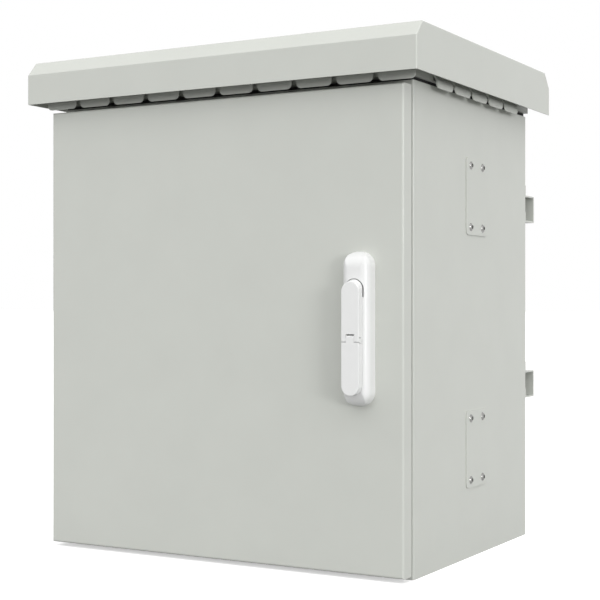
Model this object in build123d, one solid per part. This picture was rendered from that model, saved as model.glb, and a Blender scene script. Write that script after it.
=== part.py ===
from build123d import *
import os

# Outdoor rack cabinet for a pole, with a louvred rain hood, a swing-handle door and two rear rails.
# Frame: origin at the middle of the underside, +X to the viewer's right, +Y to the rear, +Z up. Millimetres.

# Body sheet
BODY_W = 600.0
BODY_D = 430.0
BODY_H = 677.0
SHEET = 1.5
BEND_R = 3.0
FRAME_W = 38.0
FRAME_H = 28.0
LIP_DEPTH = 18.0
CUT_OVER = 2.0

# Vent slots in the top panel
VENT_SLOT_W = 8.0
VENT_SLOT_L = 120.0
VENT_SLOT_PITCH = 30.0
VENT_MARGIN = 95.0
VENT_ROW_PITCH = 150.0

# Gland plate in the floor
GLAND_OPEN_W = 300.0
GLAND_OPEN_D = 100.0
GLAND_Y = 90.0
GLAND_LAP = 20.0
GLAND_T = 2.0
GLAND_SCREW_R = 2.5
GLAND_SCREW_HEAD_R = 4.5
GLAND_SCREW_HEAD_H = 3.0

# Vent collar under the hood
COLLAR_SIDE_OUT = 4.0
COLLAR_FRONT_OUT = 16.0
COLLAR_REAR_IN = 2.0
COLLAR_WING = 5.0
COLLAR_LEDGE_W = 30.0
COLLAR_TOP_W = 25.0
SEAL_H = 5.0
SEAL_W = 12.0
SEAL_INSET = 2.5

# Louvres
LOUVRE_W = 56.0
LOUVRE_PITCH = 63.7
LOUVRE_H = 26.0
LOUVRE_OUT = 9.0
LOUVRE_LIP_H = 11.0
LOUVRE_CORNER_R = 7.5
LOUVRE_FRONT_OVER = 17.0
LOUVRE_DROP = 7.5
LOUVRE_SIDE_DROP = 10.5
LOUVRE_REAR_DROP = 4.2
LOUVRE_SLIT_H = 10.0
LOUVRE_SIDE_START = 64.0
LOUVRE_SIDE_END = 30.0

# Roof hood
HOOD_FRONT_OUT = 54.8
HOOD_REAR_OUT = 26.0
HOOD_SIDE_OUT = 30.0
HOOD_SKIRT_GAP = 4.1
HOOD_SKIRT_H = 45.2
HOOD_REAR_SKIRT_H = 22.0
HOOD_RISE = 21.3
HOOD_CHAMFER_RUN = 18.4
HOOD_FOLD_R = 2.0
HOOD_STUD_R = 3.0
HOOD_STUD_L = 16.0
HOOD_STUD_PITCH_Y = 300.0
HOLE_PLAY = 0.25

# Hexagon nuts and bolts
NUT_R = 5.8
NUT_H = 5.0

# Door
DOOR_PROUD = 31.5
DOOR_T = 24.2
DOOR_TOP_GAP = 8.2
DOOR_BOTTOM_GAP = 6.1
DOOR_EDGE_R = 3.0
DOOR_FLANGE_W = 12.0
GASKET_W = 14.0
GASKET_PLAY = 0.3

# Concealed hinges
HINGE_IN = 7.5
HINGE_AHEAD = 16.0
HINGE_FROM_END = 120.0
HINGE_PIN_R = 3.0
HINGE_BARREL_R = 4.5
HINGE_BARREL_H = 24.0
HINGE_EAR_T = 10.0
HINGE_GAP = 0.3
HINGE_PLAY = 0.05
HINGE_LEAF_T = 3.0
HINGE_LEAF_H = 64.0
HINGE_LEAF_OUT = 4.5
HINGE_LEAF_IN = 22.0
HINGE_LEG_NEAR = 13.5
HINGE_LEG_T = 4.5
HINGE_LINK_BACK = 2.0
HINGE_LINK_FRONT = 6.0
HINGE_PLATE_T = 2.0
HINGE_PLATE_IN = 11.5
HINGE_PLATE_OUT = 5.5
HINGE_PLATE_H = 74.0
HINGE_EAR_OUT = 4.5
HINGE_EAR_IN = 6.0
HINGE_NOTCH_PLAY = 2.0
HINGE_SCREW_R = 2.5
HINGE_SCREW_HEAD_R = 4.5
HINGE_SCREW_HEAD_H = 2.5
HINGE_SCREW_IN = 8.5
HINGE_SCREW_EDGE = 8.0
HINGE_STUD_R = 2.0
HINGE_STUD_IN = 4.5
HINGE_STUD_EDGE = 5.0
HINGE_NUT_R = 4.0
HINGE_NUT_H = 3.0

# Swing handle base
HANDLE_FROM_EDGE = 62.2
HANDLE_BASE_W = 40.0
HANDLE_BASE_BOTTOM = 235.4
HANDLE_BASE_TOP = 444.6
HANDLE_BASE_RISE = 24.5
HANDLE_BASE_ROUND = 11.0
HANDLE_END_ROUND = 23.0
POCKET_R = 14.2
POCKET_FLOOR = 15.0
POCKET_TAIL = 11.0
BOSS_R = 9.5
BOSS_L = 6.0

# Lever
LEVER_W = 26.4
LEVER_BOTTOM = 251.0
LEVER_TOP = 406.7
LEVER_GAP = 0.5
LEVER_T = 11.0
LEVER_EDGE_R = 0.9
LEVER_HEAD_SLOPE = 3.6
LEVER_FRONT_WALL = 2.2
CORE_T = 4.0

# Spindle, lift pin and cam
SPINDLE_R = 6.0
SPINDLE_PLAY = 0.05
SPINDLE_COLLAR_R = 8.5
SPINDLE_COLLAR_L = 4.0
SPINDLE_END_PLAY = 0.3
SPINDLE_SQUARE = 8.4
TONGUE_W = 9.0
TONGUE_R = 3.2
TONGUE_PLAY = 0.3
LIFT_PROUD = 30.0
LIFT_PIN_R = 2.0
LIFT_PIN_L = 22.0
LIFT_ROOM_UP = 8.8
LIFT_ROOM_DOWN = 3.7
CAM_T = 4.0
CAM_W = 18.0
CAM_SHORT = 1.0
CAM_BEHIND_GASKET = 3.0
CAM_TAIL = 9.0
CAM_SCREW_R = 2.5
CAM_SCREW_HEAD_R = 6.5
CAM_SCREW_HEAD_H = 3.0
CAM_SCREW_L = 10.0

# Dust flap on the lever
FLAP_PIN_Z = 328.6
FLAP_PIN_IN = 4.2
FLAP_PIN_R = 1.2
FLAP_SEAM_DOWN = 6.3
FLAP_SEAM_GAP = 0.9
FLAP_TAB_W = 12.2
FLAP_TAB_UP = 2.9
FLAP_TAB_DOWN = 9.0
FLAP_TAB_BACK = 3.2
FLAP_TAB_ROUND = 2.4
FLAP_SLOT_PLAY = 0.35
FLAP_SLOT_UP = 4.6
FLAP_SLOT_BACK = 4.7
FLAP_WALL = 1.8
FLAP_FRONT_WALL = 2.5
FLAP_BACK_GAP = 0.5
FLAP_SIDE_GAP = 0.4

# Lock
LOCK_Z = 284.0
LOCK_R = 8.0
LOCK_BACK = 4.0
LOCK_END_WALL = 2.0
LOCK_PLUG_R = 5.0
LOCK_PLUG_PLAY = 0.05
LOCK_PLUG_END_PLAY = 0.3
LOCK_WINDOW_R = 9.0
KEY_W = 1.8
KEY_H = 7.0
KEY_DEPTH = 14.0

# Clamp plate inside the door
CLAMP_W = 26.0
CLAMP_T = 2.0
CLAMP_BOTTOM = 318.0
CLAMP_TOP = 436.0
CLAMP_SCREW_EDGE = 10.0
CLAMP_SCREW_R = 2.0
CLAMP_SCREW_HEAD_R = 4.0
CLAMP_SCREW_HEAD_H = 3.0
CLAMP_SCREW_GRIP = 9.0

# Side plates, their screws and the rail brackets
PLATE_FRONT = 180.0
PLATE_D = 80.0
PLATE_H = 114.0
PLATE_T = 1.5
PLATE_CORNER_R = 7.0
PLATE_FROM_BOTTOM = 159.5
PLATE_FROM_TOP = 144.5
SIDE_SCREW_NEAR = 16.5
SIDE_SCREW_PITCH_Y = 45.0
SIDE_SCREW_PITCH_Z = 91.0
SIDE_SCREW_R = 3.0
SIDE_SCREW_HEAD_R = 6.0
SIDE_SCREW_HEAD_H = 3.2
BRACKET_T = 2.0
BRACKET_FRONT = 96.0
BRACKET_REACH = 60.0

# Rack rails
RACK_UNIT = 44.45
RACK_END_ROOM = 60.0
RACK_SIDE_GAP = 38.0
RACK_HOLE_IN = 7.55
RACK_HOLE = 9.5
RACK_HOLE_OFFSETS = (6.35, 22.225, 38.1)
RACK_RAIL_MARGIN = 10.0
RACK_RAIL_T = 2.0
RACK_RAIL_W = 37.0
RACK_RAIL_RETURN = 20.0
RACK_BOLT_IN = 27.0
RACK_BOLT_R = 3.0
RACK_BOLT_HEAD_R = 5.5
RACK_BOLT_HEAD_H = 4.0
RACK_BOLT_PITCH_Z = 70.0

# Rear mounting rails
RAIL_T = 2.5
RAIL_STANDOFF = 40.0
RAIL_BOX_H = 43.0
RAIL_FLANGE_H = 16.0
RAIL_END_IN = 1.0
RAIL_FROM_BOTTOM = 221.5
RAIL_FROM_TOP = 170.0
RAIL_MOUNT_PITCH_X = 400.0
RAIL_MOUNT_R = 4.5
RAIL_BOLT_FROM_SIDE = 40.0
RAIL_BOLT_INNER_X = 90.0
RAIL_BOLT_R = 3.0
RAIL_BOLT_HEAD_R = 5.8
RAIL_BOLT_HEAD_H = 4.0
RAIL_BOLT_L = 12.0

# Earth stud on the floor
EARTH_FROM_SIDE = 25.0
EARTH_FROM_FRONT = 50.0
EARTH_R = 4.0
EARTH_L = 26.0
EARTH_NUT_R = 7.4
EARTH_NUT_H = 6.5
EARTH_NUT_GAP = 3.0

# Planes and places worked out from the sizes above
FRONT = -BODY_D / 2
REAR = BODY_D / 2
MOUTH = BODY_W - 2 * FRAME_W
DOOR_FACE = FRONT - DOOR_PROUD
DOOR_REAR = DOOR_FACE + DOOR_T
SKIN_BACK = DOOR_FACE + SHEET
DOOR_BOTTOM = DOOR_BOTTOM_GAP
DOOR_TOP = BODY_H - DOOR_TOP_GAP
COLLAR_X = BODY_W / 2 + COLLAR_SIDE_OUT
COLLAR_FRONT_W = 2 * (COLLAR_X + COLLAR_WING)
COLLAR_FRONT = FRONT - COLLAR_FRONT_OUT
COLLAR_REAR = REAR - COLLAR_REAR_IN
COLLAR_BOTTOM = BODY_H + SEAL_H
HOOD_SKIRT_BOTTOM = BODY_H + HOOD_SKIRT_GAP
HOOD_SKIRT_TOP = HOOD_SKIRT_BOTTOM + HOOD_SKIRT_H
HOOD_TOP = HOOD_SKIRT_TOP + HOOD_RISE
COLLAR_TOP = HOOD_TOP - SHEET
HINGE_X = -BODY_W / 2 + HINGE_IN
HINGE_Y = FRONT - HINGE_AHEAD
HANDLE_X = BODY_W / 2 - HANDLE_FROM_EDGE
LEVER_BACK = HANDLE_BASE_RISE + LEVER_GAP
LEVER_FACE = LEVER_BACK + LEVER_T
PIVOT_Z = LEVER_TOP - LEVER_W / 2
FLAP_PIN_PROUD = LEVER_FACE - FLAP_PIN_IN
FLAP_SEAM_R = (FLAP_SEAM_DOWN ** 2 + FLAP_PIN_IN ** 2) ** 0.5
GASKET_BACK = FRONT - LIP_DEPTH - GASKET_PLAY
CAM_FRONT = GASKET_BACK + CAM_BEHIND_GASKET
CAM_BACK = CAM_FRONT + CAM_T
CAM_REACH = MOUTH / 2 - HANDLE_X - CAM_SHORT
BOSS_END = SKIN_BACK + BOSS_L
INNER_X = BODY_W / 2 - SHEET
BRACKET_Y = FRONT + BRACKET_FRONT
BRACKET_REAR = FRONT + PLATE_FRONT + PLATE_D
HINGE_Z = (HINGE_FROM_END, BODY_H - HINGE_FROM_END)
PLATE_Z = (PLATE_FROM_BOTTOM, BODY_H - PLATE_FROM_TOP)
RAIL_Z = (RAIL_FROM_BOTTOM, BODY_H - RAIL_FROM_TOP)
RAIL_BOLT_OUTER_X = BODY_W / 2 - RAIL_BOLT_FROM_SIDE
RAIL_BOLT_X = (-RAIL_BOLT_OUTER_X, -RAIL_BOLT_INNER_X, RAIL_BOLT_INNER_X, RAIL_BOLT_OUTER_X)
EARTH_X = BODY_W / 2 - EARTH_FROM_SIDE
EARTH_Y = FRONT + EARTH_FROM_FRONT
RACK_RAIL_INNER_X = BODY_W / 2 - RACK_SIDE_GAP - RACK_RAIL_W
RACK_HOLE_X = RACK_RAIL_INNER_X + RACK_HOLE_IN
RACK_BOLT_X = RACK_RAIL_INNER_X + RACK_BOLT_IN
RACK_UNITS = int((BODY_H - 2 * RACK_END_ROOM) // RACK_UNIT)
RACK_MID_Z = BODY_H / 2
RACK_H = RACK_UNIT * RACK_UNITS


def block(x_span, y_span, z_span):
    """Box between pairs of limits, given in any order."""
    centre = [(span[0] + span[1]) / 2 for span in (x_span, y_span, z_span)]
    size = [abs(span[1] - span[0]) for span in (x_span, y_span, z_span)]
    return Pos(*centre) * Box(*size)


def rod_x(x_span, y, z, radius):
    """Cylinder along X."""
    length = abs(x_span[1] - x_span[0])
    return Pos((x_span[0] + x_span[1]) / 2, y, z) * Rot(0, 90, 0) * Cylinder(radius, length)


def rod_y(x, y_span, z, radius):
    """Cylinder along Y."""
    length = abs(y_span[1] - y_span[0])
    return Pos(x, (y_span[0] + y_span[1]) / 2, z) * Rot(90, 0, 0) * Cylinder(radius, length)


def rod_z(x, y, z_span, radius):
    """Cylinder along Z."""
    length = abs(z_span[1] - z_span[0])
    return Pos(x, y, (z_span[0] + z_span[1]) / 2) * Cylinder(radius, length)


def hex_x(x_span, y, z, radius):
    """Hexagon prism along X."""
    prism = extrude(Plane.YZ * RegularPolygon(radius, 6), abs(x_span[1] - x_span[0]))
    return Pos(min(x_span), y, z) * prism


def hex_y(x, y_span, z, radius):
    """Hexagon prism along Y."""
    prism = extrude(Plane.XZ * RegularPolygon(radius, 6), abs(y_span[1] - y_span[0]))
    return Pos(x, max(y_span), z) * prism


def hex_z(x, y, z_span, radius):
    """Hexagon prism along Z."""
    return Pos(x, y, min(z_span)) * extrude(RegularPolygon(radius, 6), abs(z_span[1] - z_span[0]))


def proud(distance):
    """Y of a plane that stands this far ahead of the door's face."""
    return DOOR_FACE - distance


def outward(sketch, start, end):
    """Extrude a sketch of the XZ plane between two distances ahead of the door's face."""
    return Pos(0, proud(start), 0) * extrude(Plane.XZ * sketch, end - start)


def upright_slot(width, bottom, top):
    """Upright stadium outline on the handle's centre line, in the XZ plane."""
    return Pos(HANDLE_X, (bottom + top) / 2) * Rot(0, 0, 90) * SlotOverall(top - bottom, width)


def row(count, pitch, middle=0.0):
    """Evenly spaced places about a middle."""
    return [middle + (index - (count - 1) / 2) * pitch for index in range(count)]


def fitting(room, width, pitch):
    """How many copies of a width fit in a room at a pitch."""
    return int((room - width) // pitch) + 1


# Places that several pieces share
def side_screw_places():
    """Side, Y and Z of every screw through the side plates."""
    near = FRONT + PLATE_FRONT + SIDE_SCREW_NEAR
    places = []
    for side in (-1, 1):
        for middle in PLATE_Z:
            for y in (near, near + SIDE_SCREW_PITCH_Y):
                for z in row(2, SIDE_SCREW_PITCH_Z, middle):
                    places.append((side, y, z))
    return places


def rail_bolt_places():
    """X and Z of every bolt that holds the rear rails."""
    return [(x, z + RAIL_BOX_H + RAIL_FLANGE_H / 2) for z in RAIL_Z for x in RAIL_BOLT_X]


def rack_bolt_places():
    """X and Z of the bolts between rack rails and brackets."""
    places = []
    for side in (-1, 1):
        for middle in PLATE_Z:
            places += [(side * RACK_BOLT_X, z) for z in row(2, RACK_BOLT_PITCH_Z, middle)]
    return places


def gland_screw_places():
    """X and Y of the gland plate's screws."""
    x = (GLAND_OPEN_W + GLAND_LAP) / 2
    y = (GLAND_OPEN_D + GLAND_LAP) / 2
    return [(a, GLAND_Y + b) for a in (-x, 0, x) for b in (-y, y)]


def hood_stud_places():
    """X and Y of the hood's studs, in the middle of the collar's top flange."""
    x = COLLAR_X - COLLAR_TOP_W / 2
    middle = (COLLAR_FRONT + COLLAR_REAR) / 2
    return [(side * x, y) for side in (-1, 1) for y in row(2, HOOD_STUD_PITCH_Y, middle)]


def hinge_screw_zs(middle):
    """Heights of the two screws of a hinge arm."""
    return row(2, HINGE_LEAF_H - 2 * HINGE_SCREW_EDGE, middle)


def hinge_stud_zs(middle):
    """Heights of the two studs of a hinge bracket."""
    return row(2, HINGE_PLATE_H - 2 * HINGE_STUD_EDGE, middle)


CLAMP_SCREW_ZS = (CLAMP_BOTTOM + CLAMP_SCREW_EDGE, CLAMP_TOP - CLAMP_SCREW_EDGE)


# Body
def body_wrap():
    """Sides and rear folded from one sheet, with front flanges and their forward lips."""
    outer = extrude(RectangleRounded(BODY_W, BODY_D, BEND_R), BODY_H)
    room = RectangleRounded(BODY_W - 2 * SHEET, BODY_D - 2 * SHEET, BEND_R - SHEET)
    wrap = outer - Pos(0, 0, -CUT_OVER) * extrude(room, BODY_H + 2 * CUT_OVER)
    mouth_y = (FRONT - CUT_OVER, FRONT + SHEET + CUT_OVER)
    wrap -= block((-MOUTH / 2, MOUTH / 2), mouth_y, (-CUT_OVER, BODY_H + CUT_OVER))
    for side in (-1, 1):
        lip_x = (side * MOUTH / 2, side * (MOUTH / 2 + SHEET))
        wrap += block(lip_x, (FRONT - LIP_DEPTH, FRONT + SHEET), (FRAME_H, BODY_H - FRAME_H))
    for side, y, z in side_screw_places():
        span = (side * (INNER_X - CUT_OVER), side * (BODY_W / 2 + CUT_OVER))
        wrap -= rod_x(span, y, z, SIDE_SCREW_R + HOLE_PLAY)
    for x, z in rail_bolt_places():
        wrap -= rod_y(x, (REAR - SHEET - CUT_OVER, REAR + CUT_OVER), z, RAIL_BOLT_R + HOLE_PLAY)
    for middle in HINGE_Z:
        for z in hinge_screw_zs(middle):
            span = (FRONT - CUT_OVER, FRONT + SHEET + CUT_OVER)
            wrap -= rod_y(HINGE_X + HINGE_SCREW_IN, span, z, HINGE_SCREW_R + HOLE_PLAY)
    return wrap


def end_panel(plate_z, flange_z, lip_z):
    """Flat panel between the walls, with the front flange and lip that complete the frame."""
    plate = extrude(RectangleRounded(BODY_W - 2 * SHEET, BODY_D - 2 * SHEET, BEND_R - SHEET), SHEET)
    panel = Pos(0, 0, plate_z) * plate
    panel += block((-MOUTH / 2, MOUTH / 2), (FRONT, FRONT + SHEET), flange_z)
    panel += block((-MOUTH / 2 - SHEET, MOUTH / 2 + SHEET), (FRONT - LIP_DEPTH, FRONT), lip_z)
    return panel


def top_panel():
    """Top of the body, with rows of vent slots into the collar."""
    low = BODY_H - FRAME_H
    panel = end_panel(BODY_H - SHEET, (low, BODY_H), (low, low + SHEET))
    slots = fitting(BODY_W - 2 * VENT_MARGIN, VENT_SLOT_W, VENT_SLOT_PITCH)
    for x in row(slots, VENT_SLOT_PITCH):
        for y in row(2, VENT_ROW_PITCH):
            slot = Rot(0, 0, 90) * SlotOverall(VENT_SLOT_L, VENT_SLOT_W)
            panel -= Pos(x, y, BODY_H - SHEET - CUT_OVER) * extrude(slot, SHEET + 2 * CUT_OVER)
    return panel


def floor_panel():
    """Floor of the body, with the opening under the gland plate and a hole for the earth stud."""
    panel = end_panel(0, (0, FRAME_H), (FRAME_H - SHEET, FRAME_H))
    opening_x = (-GLAND_OPEN_W / 2, GLAND_OPEN_W / 2)
    opening_y = (GLAND_Y - GLAND_OPEN_D / 2, GLAND_Y + GLAND_OPEN_D / 2)
    panel -= block(opening_x, opening_y, (-CUT_OVER, SHEET + CUT_OVER))
    for x, y in gland_screw_places():
        panel -= rod_z(x, y, (-CUT_OVER, SHEET + CUT_OVER), GLAND_SCREW_R + HOLE_PLAY)
    return panel


def gland_plate():
    """Blank plate over the cable opening, inside the floor."""
    lap = 2 * GLAND_LAP
    outline = RectangleRounded(GLAND_OPEN_W + lap, GLAND_OPEN_D + lap, BEND_R)
    plate = Pos(0, GLAND_Y, SHEET) * extrude(outline, GLAND_T)
    for x, y in gland_screw_places():
        plate -= rod_z(x, y, (SHEET - CUT_OVER, SHEET + GLAND_T + CUT_OVER), GLAND_SCREW_R + HOLE_PLAY)
    return plate


def gland_plate_screws():
    """Screws of the gland plate, heads inside and tips flush with the underside."""
    top = SHEET + GLAND_T
    screws = []
    for x, y in gland_screw_places():
        head = rod_z(x, y, (top, top + GLAND_SCREW_HEAD_H), GLAND_SCREW_HEAD_R)
        screws.append(head + rod_z(x, y, (0, top), GLAND_SCREW_R))
    return screws


def earth_stud():
    """Stud welded to the floor for the earth lead."""
    return rod_z(EARTH_X, EARTH_Y, (SHEET, SHEET + EARTH_L), EARTH_R)


def earth_nuts():
    """Two nuts on the earth stud."""
    nuts = []
    for base in (SHEET, SHEET + EARTH_NUT_H + EARTH_NUT_GAP):
        nut = hex_z(EARTH_X, EARTH_Y, (base, base + EARTH_NUT_H), EARTH_NUT_R)
        nuts.append(nut - rod_z(EARTH_X, EARTH_Y, (base - CUT_OVER, base + EARTH_NUT_H + CUT_OVER), EARTH_R))
    return nuts


# Vent collar and hood
def ring(x_half, y_span, width, z_span):
    """Flat rectangular ring of one width."""
    outer = block((-x_half, x_half), y_span, z_span)
    gap_z = (z_span[0] - CUT_OVER, z_span[1] + CUT_OVER)
    gap_y = (y_span[0] + width, y_span[1] - width)
    return outer - block((width - x_half, x_half - width), gap_y, gap_z)


def collar_seal():
    """Foam strip between the body's top and the collar."""
    y_span = (FRONT + SEAL_INSET, COLLAR_REAR - SEAL_INSET)
    return ring(BODY_W / 2 - SEAL_INSET, y_span, SEAL_W, (BODY_H, COLLAR_BOTTOM))


def louvre():
    """One lanced louvre on the plane Y = 0, facing -Y: a bent tongue with round lower corners at Z = 0."""
    face = -LOUVRE_OUT
    inner = face + SHEET
    front = [(0, LOUVRE_H), (face, LOUVRE_LIP_H), (face, 0)]
    back = [(inner, 0), (inner, LOUVRE_LIP_H - SHEET), (0, LOUVRE_H - 2 * SHEET)]
    tongue = extrude(Plane.YZ * Polygon(*front, *back, align=None), LOUVRE_W / 2, both=True)
    outline = Pos(0, LOUVRE_H) * RectangleRounded(LOUVRE_W, 2 * LOUVRE_H, LOUVRE_CORNER_R)
    return tongue & extrude(Plane.XZ * outline, LOUVRE_OUT + CUT_OVER)


def vent_collar():
    """Louvred collar that carries the hood and sheds water ahead of the door."""
    y_span = (COLLAR_FRONT, COLLAR_REAR)
    collar = ring(COLLAR_X, y_span, SHEET, (COLLAR_BOTTOM, COLLAR_TOP))
    collar += ring(COLLAR_X, y_span, COLLAR_LEDGE_W, (COLLAR_BOTTOM, COLLAR_BOTTOM + SHEET))
    collar += ring(COLLAR_X, y_span, COLLAR_TOP_W, (COLLAR_TOP - SHEET, COLLAR_TOP))
    front_wall = (COLLAR_FRONT, COLLAR_FRONT + SHEET)
    collar += block((-COLLAR_FRONT_W / 2, COLLAR_FRONT_W / 2), front_wall, (COLLAR_BOTTOM, COLLAR_TOP))

    pressed = louvre()
    slit_w = LOUVRE_W - 2 * LOUVRE_CORNER_R
    slit_z = (SHEET, SHEET + LOUVRE_SLIT_H)
    slit = block((-slit_w / 2, slit_w / 2), (-CUT_OVER / 2, SHEET + CUT_OVER), slit_z)
    front_room = BODY_W + 2 * LOUVRE_FRONT_OVER
    across_front = row(fitting(front_room, LOUVRE_W, LOUVRE_PITCH), LOUVRE_PITCH)
    across_rear = row(fitting(2 * COLLAR_X, LOUVRE_W, LOUVRE_PITCH), LOUVRE_PITCH)
    along_side = COLLAR_REAR - COLLAR_FRONT - LOUVRE_SIDE_START - LOUVRE_SIDE_END
    places = [(Pos(x, COLLAR_FRONT, COLLAR_BOTTOM), LOUVRE_DROP) for x in across_front]
    for x in across_rear:
        places.append((Pos(x, COLLAR_REAR, COLLAR_BOTTOM) * Rot(0, 0, 180), LOUVRE_REAR_DROP))
    for index in range(fitting(along_side, LOUVRE_W, LOUVRE_PITCH)):
        y = COLLAR_FRONT + LOUVRE_SIDE_START + LOUVRE_W / 2 + index * LOUVRE_PITCH
        for side in (-1, 1):
            places.append((Pos(side * COLLAR_X, y, COLLAR_BOTTOM) * Rot(0, 0, side * 90), LOUVRE_SIDE_DROP))
    collar -= [place * slit for place, drop in places]
    collar += [place * Pos(0, 0, -drop) * pressed for place, drop in places]
    for x, y in hood_stud_places():
        collar -= rod_z(x, y, (COLLAR_TOP - SHEET - CUT_OVER, COLLAR_TOP + CUT_OVER), HOOD_STUD_R + HOLE_PLAY)
    return collar


def hood_prism(inset):
    """Solid form of the hood, drawn in by a sheet's thickness for its inside."""
    front = FRONT - HOOD_FRONT_OUT + inset
    rear = REAR + HOOD_REAR_OUT - inset
    half = BODY_W / 2 + HOOD_SIDE_OUT - inset
    slope = HOOD_RISE / HOOD_CHAMFER_RUN
    corner_drop = inset * ((1 + slope ** 2) ** 0.5 - slope)
    shoulder = HOOD_SKIRT_TOP - corner_drop
    top = HOOD_TOP - inset
    run = (top - shoulder) / slope
    low = HOOD_SKIRT_BOTTOM
    ahead = [(front, low), (front, shoulder), (front + run, top)]
    behind = [(rear - run, top), (rear, shoulder), (rear, low)]
    return extrude(Plane.YZ * Polygon(*ahead, *behind, align=None), half, both=True)


def roof_hood():
    """Rain hood folded from one sheet, open below, with sloped ends and a short rear skirt."""
    outer = hood_prism(0)
    raised = outer.edges().filter_by(lambda edge: edge.center().Z > HOOD_SKIRT_BOTTOM + HOOD_FOLD_R)
    rear_corners = raised.filter_by(Axis.Z).sort_by(Axis.Y)[-2:]
    outer = fillet([edge for edge in raised if edge not in rear_corners], HOOD_FOLD_R)
    inside = hood_prism(SHEET)
    mouth = Pos(0, 0, -CUT_OVER) * extrude(inside.faces().sort_by(Axis.Z)[0], CUT_OVER, dir=(0, 0, 1))
    half = BODY_W / 2 + HOOD_SIDE_OUT - SHEET
    rear = REAR + HOOD_REAR_OUT
    rear_z = (HOOD_SKIRT_BOTTOM - CUT_OVER, HOOD_SKIRT_TOP - HOOD_REAR_SKIRT_H)
    below_rear = block((-half, half), (rear - SHEET - CUT_OVER, rear + CUT_OVER), rear_z)
    return outer - inside - mouth - below_rear


def hood_studs():
    """Studs welded under the hood."""
    return [rod_z(x, y, (COLLAR_TOP - HOOD_STUD_L, COLLAR_TOP), HOOD_STUD_R) for x, y in hood_stud_places()]


def hood_nuts():
    """Nuts that hold the hood down on the collar's top flange."""
    top = COLLAR_TOP - SHEET
    nuts = []
    for x, y in hood_stud_places():
        hole = rod_z(x, y, (top - NUT_H - CUT_OVER, top + CUT_OVER), HOOD_STUD_R)
        nuts.append(hex_z(x, y, (top - NUT_H, top), NUT_R) - hole)
    return nuts


# Door
def door_panel():
    """Overlay door folded from one sheet, with returns, inner flanges and notches for the hinges."""
    half = BODY_W / 2
    outer = block((-half, half), (DOOR_FACE, DOOR_REAR), (DOOR_BOTTOM, DOOR_TOP))
    outer = fillet(outer.faces().sort_by(Axis.Y)[0].edges(), DOOR_EDGE_R)
    room_x = (SHEET - half, half - SHEET)
    room_z = (DOOR_BOTTOM + SHEET, DOOR_TOP - SHEET)
    mouth_x = (SHEET + DOOR_FLANGE_W - half, half - SHEET - DOOR_FLANGE_W)
    mouth_z = (DOOR_BOTTOM + SHEET + DOOR_FLANGE_W, DOOR_TOP - SHEET - DOOR_FLANGE_W)
    door = outer - block(room_x, (SKIN_BACK, DOOR_REAR - SHEET), room_z)
    door -= block(mouth_x, (DOOR_REAR - SHEET - CUT_OVER, DOOR_REAR + CUT_OVER), mouth_z)
    reach = HINGE_BARREL_H / 2 + HINGE_NOTCH_PLAY
    for middle in HINGE_Z:
        notch_y = (DOOR_REAR - SHEET - CUT_OVER, DOOR_REAR + CUT_OVER)
        door -= block((SHEET - half, mouth_x[0] + CUT_OVER), notch_y, (middle - reach, middle + reach))
    door -= rod_y(HANDLE_X, (DOOR_FACE - CUT_OVER, SKIN_BACK + CUT_OVER), PIVOT_Z, BOSS_R + HOLE_PLAY)
    for z in CLAMP_SCREW_ZS:
        door -= rod_y(HANDLE_X, (DOOR_FACE - CUT_OVER, SKIN_BACK + CUT_OVER), z, CLAMP_SCREW_R + HOLE_PLAY)
    return door


def door_gasket():
    """Foam gasket inside the door, opposite the lips of the body's frame."""
    x_mid = (MOUTH + SHEET) / 2
    low_mid = FRAME_H - SHEET / 2
    high_mid = BODY_H - FRAME_H + SHEET / 2
    half = GASKET_W / 2
    y_span = (SKIN_BACK, GASKET_BACK)
    outer = block((-x_mid - half, x_mid + half), y_span, (low_mid - half, high_mid + half))
    cut_y = (SKIN_BACK - CUT_OVER, GASKET_BACK + CUT_OVER)
    return outer - block((half - x_mid, x_mid - half), cut_y, (low_mid + half, high_mid - half))


# Hinges
def hinge_arm(middle):
    """Body half of a hinge: leaf on the front flange, goose-neck arm and barrel."""
    reach = HINGE_BARREL_H / 2
    z_span = (middle - reach, middle + reach)
    leaf_z = (middle - HINGE_LEAF_H / 2, middle + HINGE_LEAF_H / 2)
    leaf_y = (FRONT - HINGE_LEAF_T, FRONT)
    leg_x = (HINGE_X + HINGE_LEG_NEAR, HINGE_X + HINGE_LEG_NEAR + HINGE_LEG_T)
    arm = block((HINGE_X - HINGE_LEAF_OUT, HINGE_X + HINGE_LEAF_IN), leaf_y, leaf_z)
    arm += block(leg_x, (HINGE_Y - HINGE_LINK_FRONT, FRONT), z_span)
    arm += block((HINGE_X, leg_x[1]), (HINGE_Y - HINGE_LINK_FRONT, HINGE_Y - HINGE_LINK_BACK), z_span)
    arm += rod_z(HINGE_X, HINGE_Y, z_span, HINGE_BARREL_R)
    arm -= rod_z(HINGE_X, HINGE_Y, (z_span[0] - CUT_OVER, z_span[1] + CUT_OVER), HINGE_PIN_R)
    for z in hinge_screw_zs(middle):
        span = (FRONT - HINGE_LEAF_T - CUT_OVER, FRONT + CUT_OVER)
        arm -= rod_y(HINGE_X + HINGE_SCREW_IN, span, z, HINGE_SCREW_R + HOLE_PLAY)
    return arm


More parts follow.
